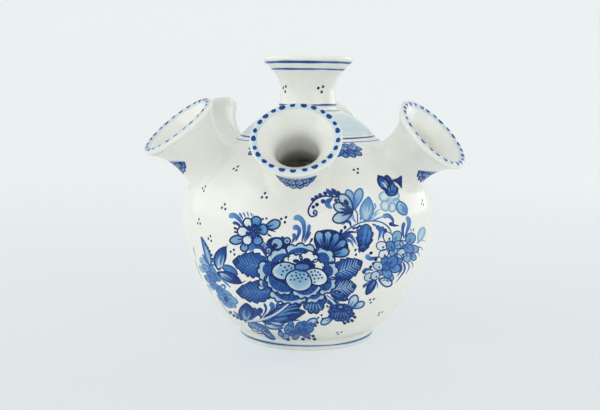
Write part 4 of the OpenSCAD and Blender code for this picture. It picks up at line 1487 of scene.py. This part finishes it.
# Lines turned round the globe and the neck: height, width, tone and layer
FOOT_LINES = [(3.0, 1.7, 0.17, SHADE), (3.0, 0.7, 0.78, LINE)]
DOME_LINES = [(122.4, 0.95, 0.72, LINE), (120.4, 0.8, 0.62, LINE)]
DOME_WASH, DOME_WASH_TONES = (123.6, 135.6), (0.09, 0.1, 0.09, 0.06)
NECK_LINES = [(137.4, 0.8, 0.66, LINE), (140.8, 0.95, 0.74, LINE), (161.6, 1.35, 0.66, LINE),
              (165.5, 1.8, 0.74, LINE)]
NECK_DOTS, NECK_DOTS_Z, NECK_DOT_R = (-52, 32, 118, 205), 150.2, 0.8
# How many points of the neck's lip the painting's outline takes in, and where it starts above the fillet
LIP_POINTS, ABOVE_FILLET = 6, 0.2
# A spout's lip: the wash's radii and tones, then the ovals' number and radius on the lip, their own size,
# tone and slant, their turn from spout to spout, and how much their places and sizes wander
LIP_WASH, LIP_WASH_TONES = (23.8, 20.0), (0.07, 0.1, 0.11, 0.11, 0.07)
OVALS, OVALS_R, OVAL_R, OVAL_STRETCH, OVAL_TONE, OVAL_SLANT, OVAL_TURN = 25, 22.0, 1.25, 1.35, 0.88, 8, 8
OVAL_WANDER, OVAL_FINE_WANDER, OVAL_SWELL = 1.1, 0.8, 0.16
# How far under the end of a spout's stem its lace starts
LACE_DROP = 0.5


def rings(paint, lines):
    for height, width, tone, layer in lines:
        ring(paint, paint.surface.run_at(height), width, tone, layer)


def hung(paint, places, rows):
    """Draws a table, in mm, about each place on the globe."""
    for azimuth, height in places:
        draw(Brush(paint, near(skin, azimuth, skin.run_at(height)), 1), rows)


def paint_globe():
    front = Paint("globe_front_painting", draped)
    front_spray(Brush(front, turned_view(0), PX))
    front.finish()
    side = Paint("globe_left_painting", skin)
    left_bunch(Brush(side, turned_view(0), PX))
    side.finish()
    back = Paint("globe_back_painting", draped)
    front_spray(Brush(back, turned_view(BACK_TURN, -1), PX))
    back.finish()
    sprigs = Paint("globe_side_painting", skin)
    hung(sprigs, SPRIGS, SPRIG)
    sprigs.finish()
    trim = Paint("shoulder_painting", skin)
    rings(trim, FOOT_LINES)
    band(trim, *[skin.run_at(height) for height in DOME_WASH], DOME_WASH_TONES)
    rings(trim, DOME_LINES)
    hung(trim, PENDANTS, PENDANT)
    trim.finish()


def paint_neck():
    tube = neck_outline()
    tube = tube[: int(np.argmax(tube[:, 0])) + LIP_POINTS]
    above = tube[:, 1] > SEAT_Z + NECK_SLIP_W + ABOVE_FILLET
    surface = Turned(np.concatenate([neck_fillet(270, 180), tube[above]]))
    neck = Paint("neck_painting", surface)
    rings(neck, NECK_LINES)
    for azimuth in NECK_DOTS:
        b = Brush(neck, near(surface, azimuth, surface.run_at(NECK_DOTS_Z)), 1)
        b.three_dots((0, 0), NECK_DOT_R, 0.93, 75)
    neck.finish()


def paint_spout(i):
    stem = SPOUT_STEM + SET_STEM[i]
    surface = Turned(spout_outline(stem), spout_place(i))
    paint = Paint(SIDES[i] + "_spout_painting", surface)
    widest = int(np.argmax(surface.outline[:, 0]))

    def run_in(radius):
        return float(np.interp(-radius, -surface.outline[widest:, 0], surface.run[widest:]))

    band(paint, *[run_in(radius) for radius in LIP_WASH], LIP_WASH_TONES, LIP_GAP)
    for k in range(OVALS):
        wander = OVAL_WANDER * math.sin(7.3 * k + i) + OVAL_FINE_WANDER * math.sin(2.9 * k)
        azimuth = 360 * k / OVALS + wander + OVAL_TURN * i
        radius = OVAL_R + OVAL_SWELL * math.sin(3.7 * k + i)
        oval = Brush(paint, near(surface, azimuth, run_in(OVALS_R)), 1, LIP_GAP)
        oval.dot((0, 0), radius, OVAL_TONE, DOT, OVAL_STRETCH, OVAL_SLANT * math.sin(5 * k))
    lambrequin(Brush(paint, near(surface, 0, SUNK + stem - LACE_DROP), 1))
    paint.finish()


paint_globe()
paint_neck()
for i in range(len(SIDES)):
    paint_spout(i)

# Stage: a pale sweep, soft lights and the camera. PAPER_SPAN is in metres, from near to far.
# The sweep's glow at its near and far ends is painted shading: darker near than far.
PAPER, PAPER_NEAR_SHADE, PAPER_FAR_LIGHT = (0.92, 0.93, 0.92), (0.70, 0.755, 0.775), (0.83, 0.875, 0.89)
PAPER_SPAN, PAPER_EVEN, PAPER_ROUGH = (-0.25, 0.9), 0.78, 0.9
# The sweep, in metres: half its width, its near end, where it bends up, the bend's radius and its top
SWEEP_HALF, SWEEP_NEAR, SWEEP_BEND, BEND_R, SWEEP_TOP = 3.0, -2.0, 1.2, 0.6, 2.6
BEND_TURNS = np.radians(np.linspace(6, 90, 15))
CLIP_NEAR, CLIP_FAR = 0.01, 20
# Soft panels: place and size in metres, power in watts. All face AIM.
WORLD, WORLD_TINT, AIM = 0.7, (0.97, 0.985, 1, 1), (0, 0, 0.08)
PANELS = {
    "left_panel": ((-1.5, 0.0, 0.7), (2.0, 1.4), 7.2),
    "front_left_panel": ((-1.3, -1.2, 0.8), (1.2, 1.2), 3.4),
    "front_right_panel": ((1.3, -1.1, 0.8), (1.2, 1.2), 5.2),
    "right_back_panel": ((1.3, 0.9, 0.5), (1.2, 1.0), 6),
    "top_panel": ((0.0, -1.0, 1.5), (1.6, 1.0), 2.2),
}


def paper_material():
    """Pale paper that shows a soft shadow. For the camera and in reflections it mostly glows, with painted
    shading that is darker near than far.
    """
    paper = bpy.data.materials.new("paper")
    paper.use_nodes = True
    tree = paper.node_tree
    shader = tree.nodes["Principled BSDF"]
    shader.inputs["Base Color"].default_value = (*PAPER, 1)
    shader.inputs["Roughness"].default_value = PAPER_ROUGH
    place, split = node(tree, "ShaderNodeTexCoord"), node(tree, "ShaderNodeSeparateXYZ")
    tree.links.new(place.outputs["Object"], split.inputs[0])
    depth = node(tree, "ShaderNodeMapRange")
    for end, value in zip(("From Min", "From Max"), PAPER_SPAN):
        depth.inputs[end].default_value = value
    tree.links.new(split.outputs["Y"], depth.inputs["Value"])
    # Painted shading: the glow darkens from far to near.
    tint = ramp(tree, [(0, PAPER_NEAR_SHADE), (1, PAPER_FAR_LIGHT)], depth.outputs["Result"])
    glow = node(tree, "ShaderNodeEmission")
    tree.links.new(tint.outputs["Color"], glow.inputs["Color"])
    path = node(tree, "ShaderNodeLightPath")
    share = node(tree, "ShaderNodeMath", operation="MULTIPLY")
    share.inputs[1].default_value = PAPER_EVEN
    looked_at = path.outputs["Is Camera Ray"]
    for kind in ("Is Glossy Ray", "Is Transmission Ray"):
        either = node(tree, "ShaderNodeMath", operation="MAXIMUM")
        tree.links.new(looked_at, either.inputs[0])
        tree.links.new(path.outputs[kind], either.inputs[1])
        looked_at = either.outputs[0]
    tree.links.new(looked_at, share.inputs[0])
    mix = node(tree, "ShaderNodeMixShader")
    tree.links.new(share.outputs[0], mix.inputs["Fac"])
    tree.links.new(shader.outputs[0], mix.inputs[1])
    tree.links.new(glow.outputs[0], mix.inputs[2])
    tree.links.new(mix.outputs[0], tree.nodes["Material Output"].inputs["Surface"])
    return paper


def make_stage():
    bend = [(SWEEP_BEND + BEND_R * math.sin(a), BEND_R - BEND_R * math.cos(a)) for a in BEND_TURNS]
    sweep = [(SWEEP_NEAR, 0), (SWEEP_BEND, 0), *bend, (SWEEP_BEND + BEND_R, SWEEP_TOP)]
    points = [(x, y, z) for y, z in sweep for x in (-SWEEP_HALF, SWEEP_HALF)]
    faces = [[2 * k, 2 * k + 1, 2 * k + 3, 2 * k + 2] for k in range(len(sweep) - 1)]
    mesh = bpy.data.meshes.new("sweep")
    mesh.from_pydata(points, [], faces)
    mesh.polygons.foreach_set("use_smooth", [True] * len(mesh.polygons))
    floor = bpy.data.objects.new("sweep", mesh)
    bpy.context.scene.collection.objects.link(floor)
    mesh.materials.append(paper_material())


def area(name, at, target, size, power):
    lamp = bpy.data.lights.new(name, "AREA")
    lamp.shape, lamp.size, lamp.size_y, lamp.energy = "RECTANGLE", size[0], size[1], power
    made = bpy.data.objects.new(name, lamp)
    made.location = at
    made.rotation_euler = (Vector(target) - Vector(at)).to_track_quat("-Z", "Y").to_euler()
    bpy.context.scene.collection.objects.link(made)


def make_light():
    world = bpy.data.worlds.new("room")
    bpy.context.scene.world = world
    world.use_nodes = True
    back = world.node_tree.nodes["Background"]
    back.inputs["Color"].default_value = WORLD_TINT
    back.inputs["Strength"].default_value = WORLD
    for name, (at, size, power) in PANELS.items():
        area(name, at, AIM, size, power)


def make_camera():
    lens = bpy.data.cameras.new("camera")
    lens.sensor_fit, lens.sensor_width, lens.lens = "HORIZONTAL", SENSOR, CAMERA_LENS
    lens.clip_start, lens.clip_end = CLIP_NEAR, CLIP_FAR
    camera = bpy.data.objects.new("camera", lens)
    camera.location = [v * MM for v in CAMERA_AT]
    ahead, right, up = camera_axes()
    camera.rotation_euler = Matrix(np.stack([right, up, -ahead], 1).tolist()).to_euler()
    bpy.context.scene.collection.objects.link(camera)
    bpy.context.scene.camera = camera


make_stage()
make_light()
make_camera()
bpy.context.scene.view_settings.view_transform = "Standard"
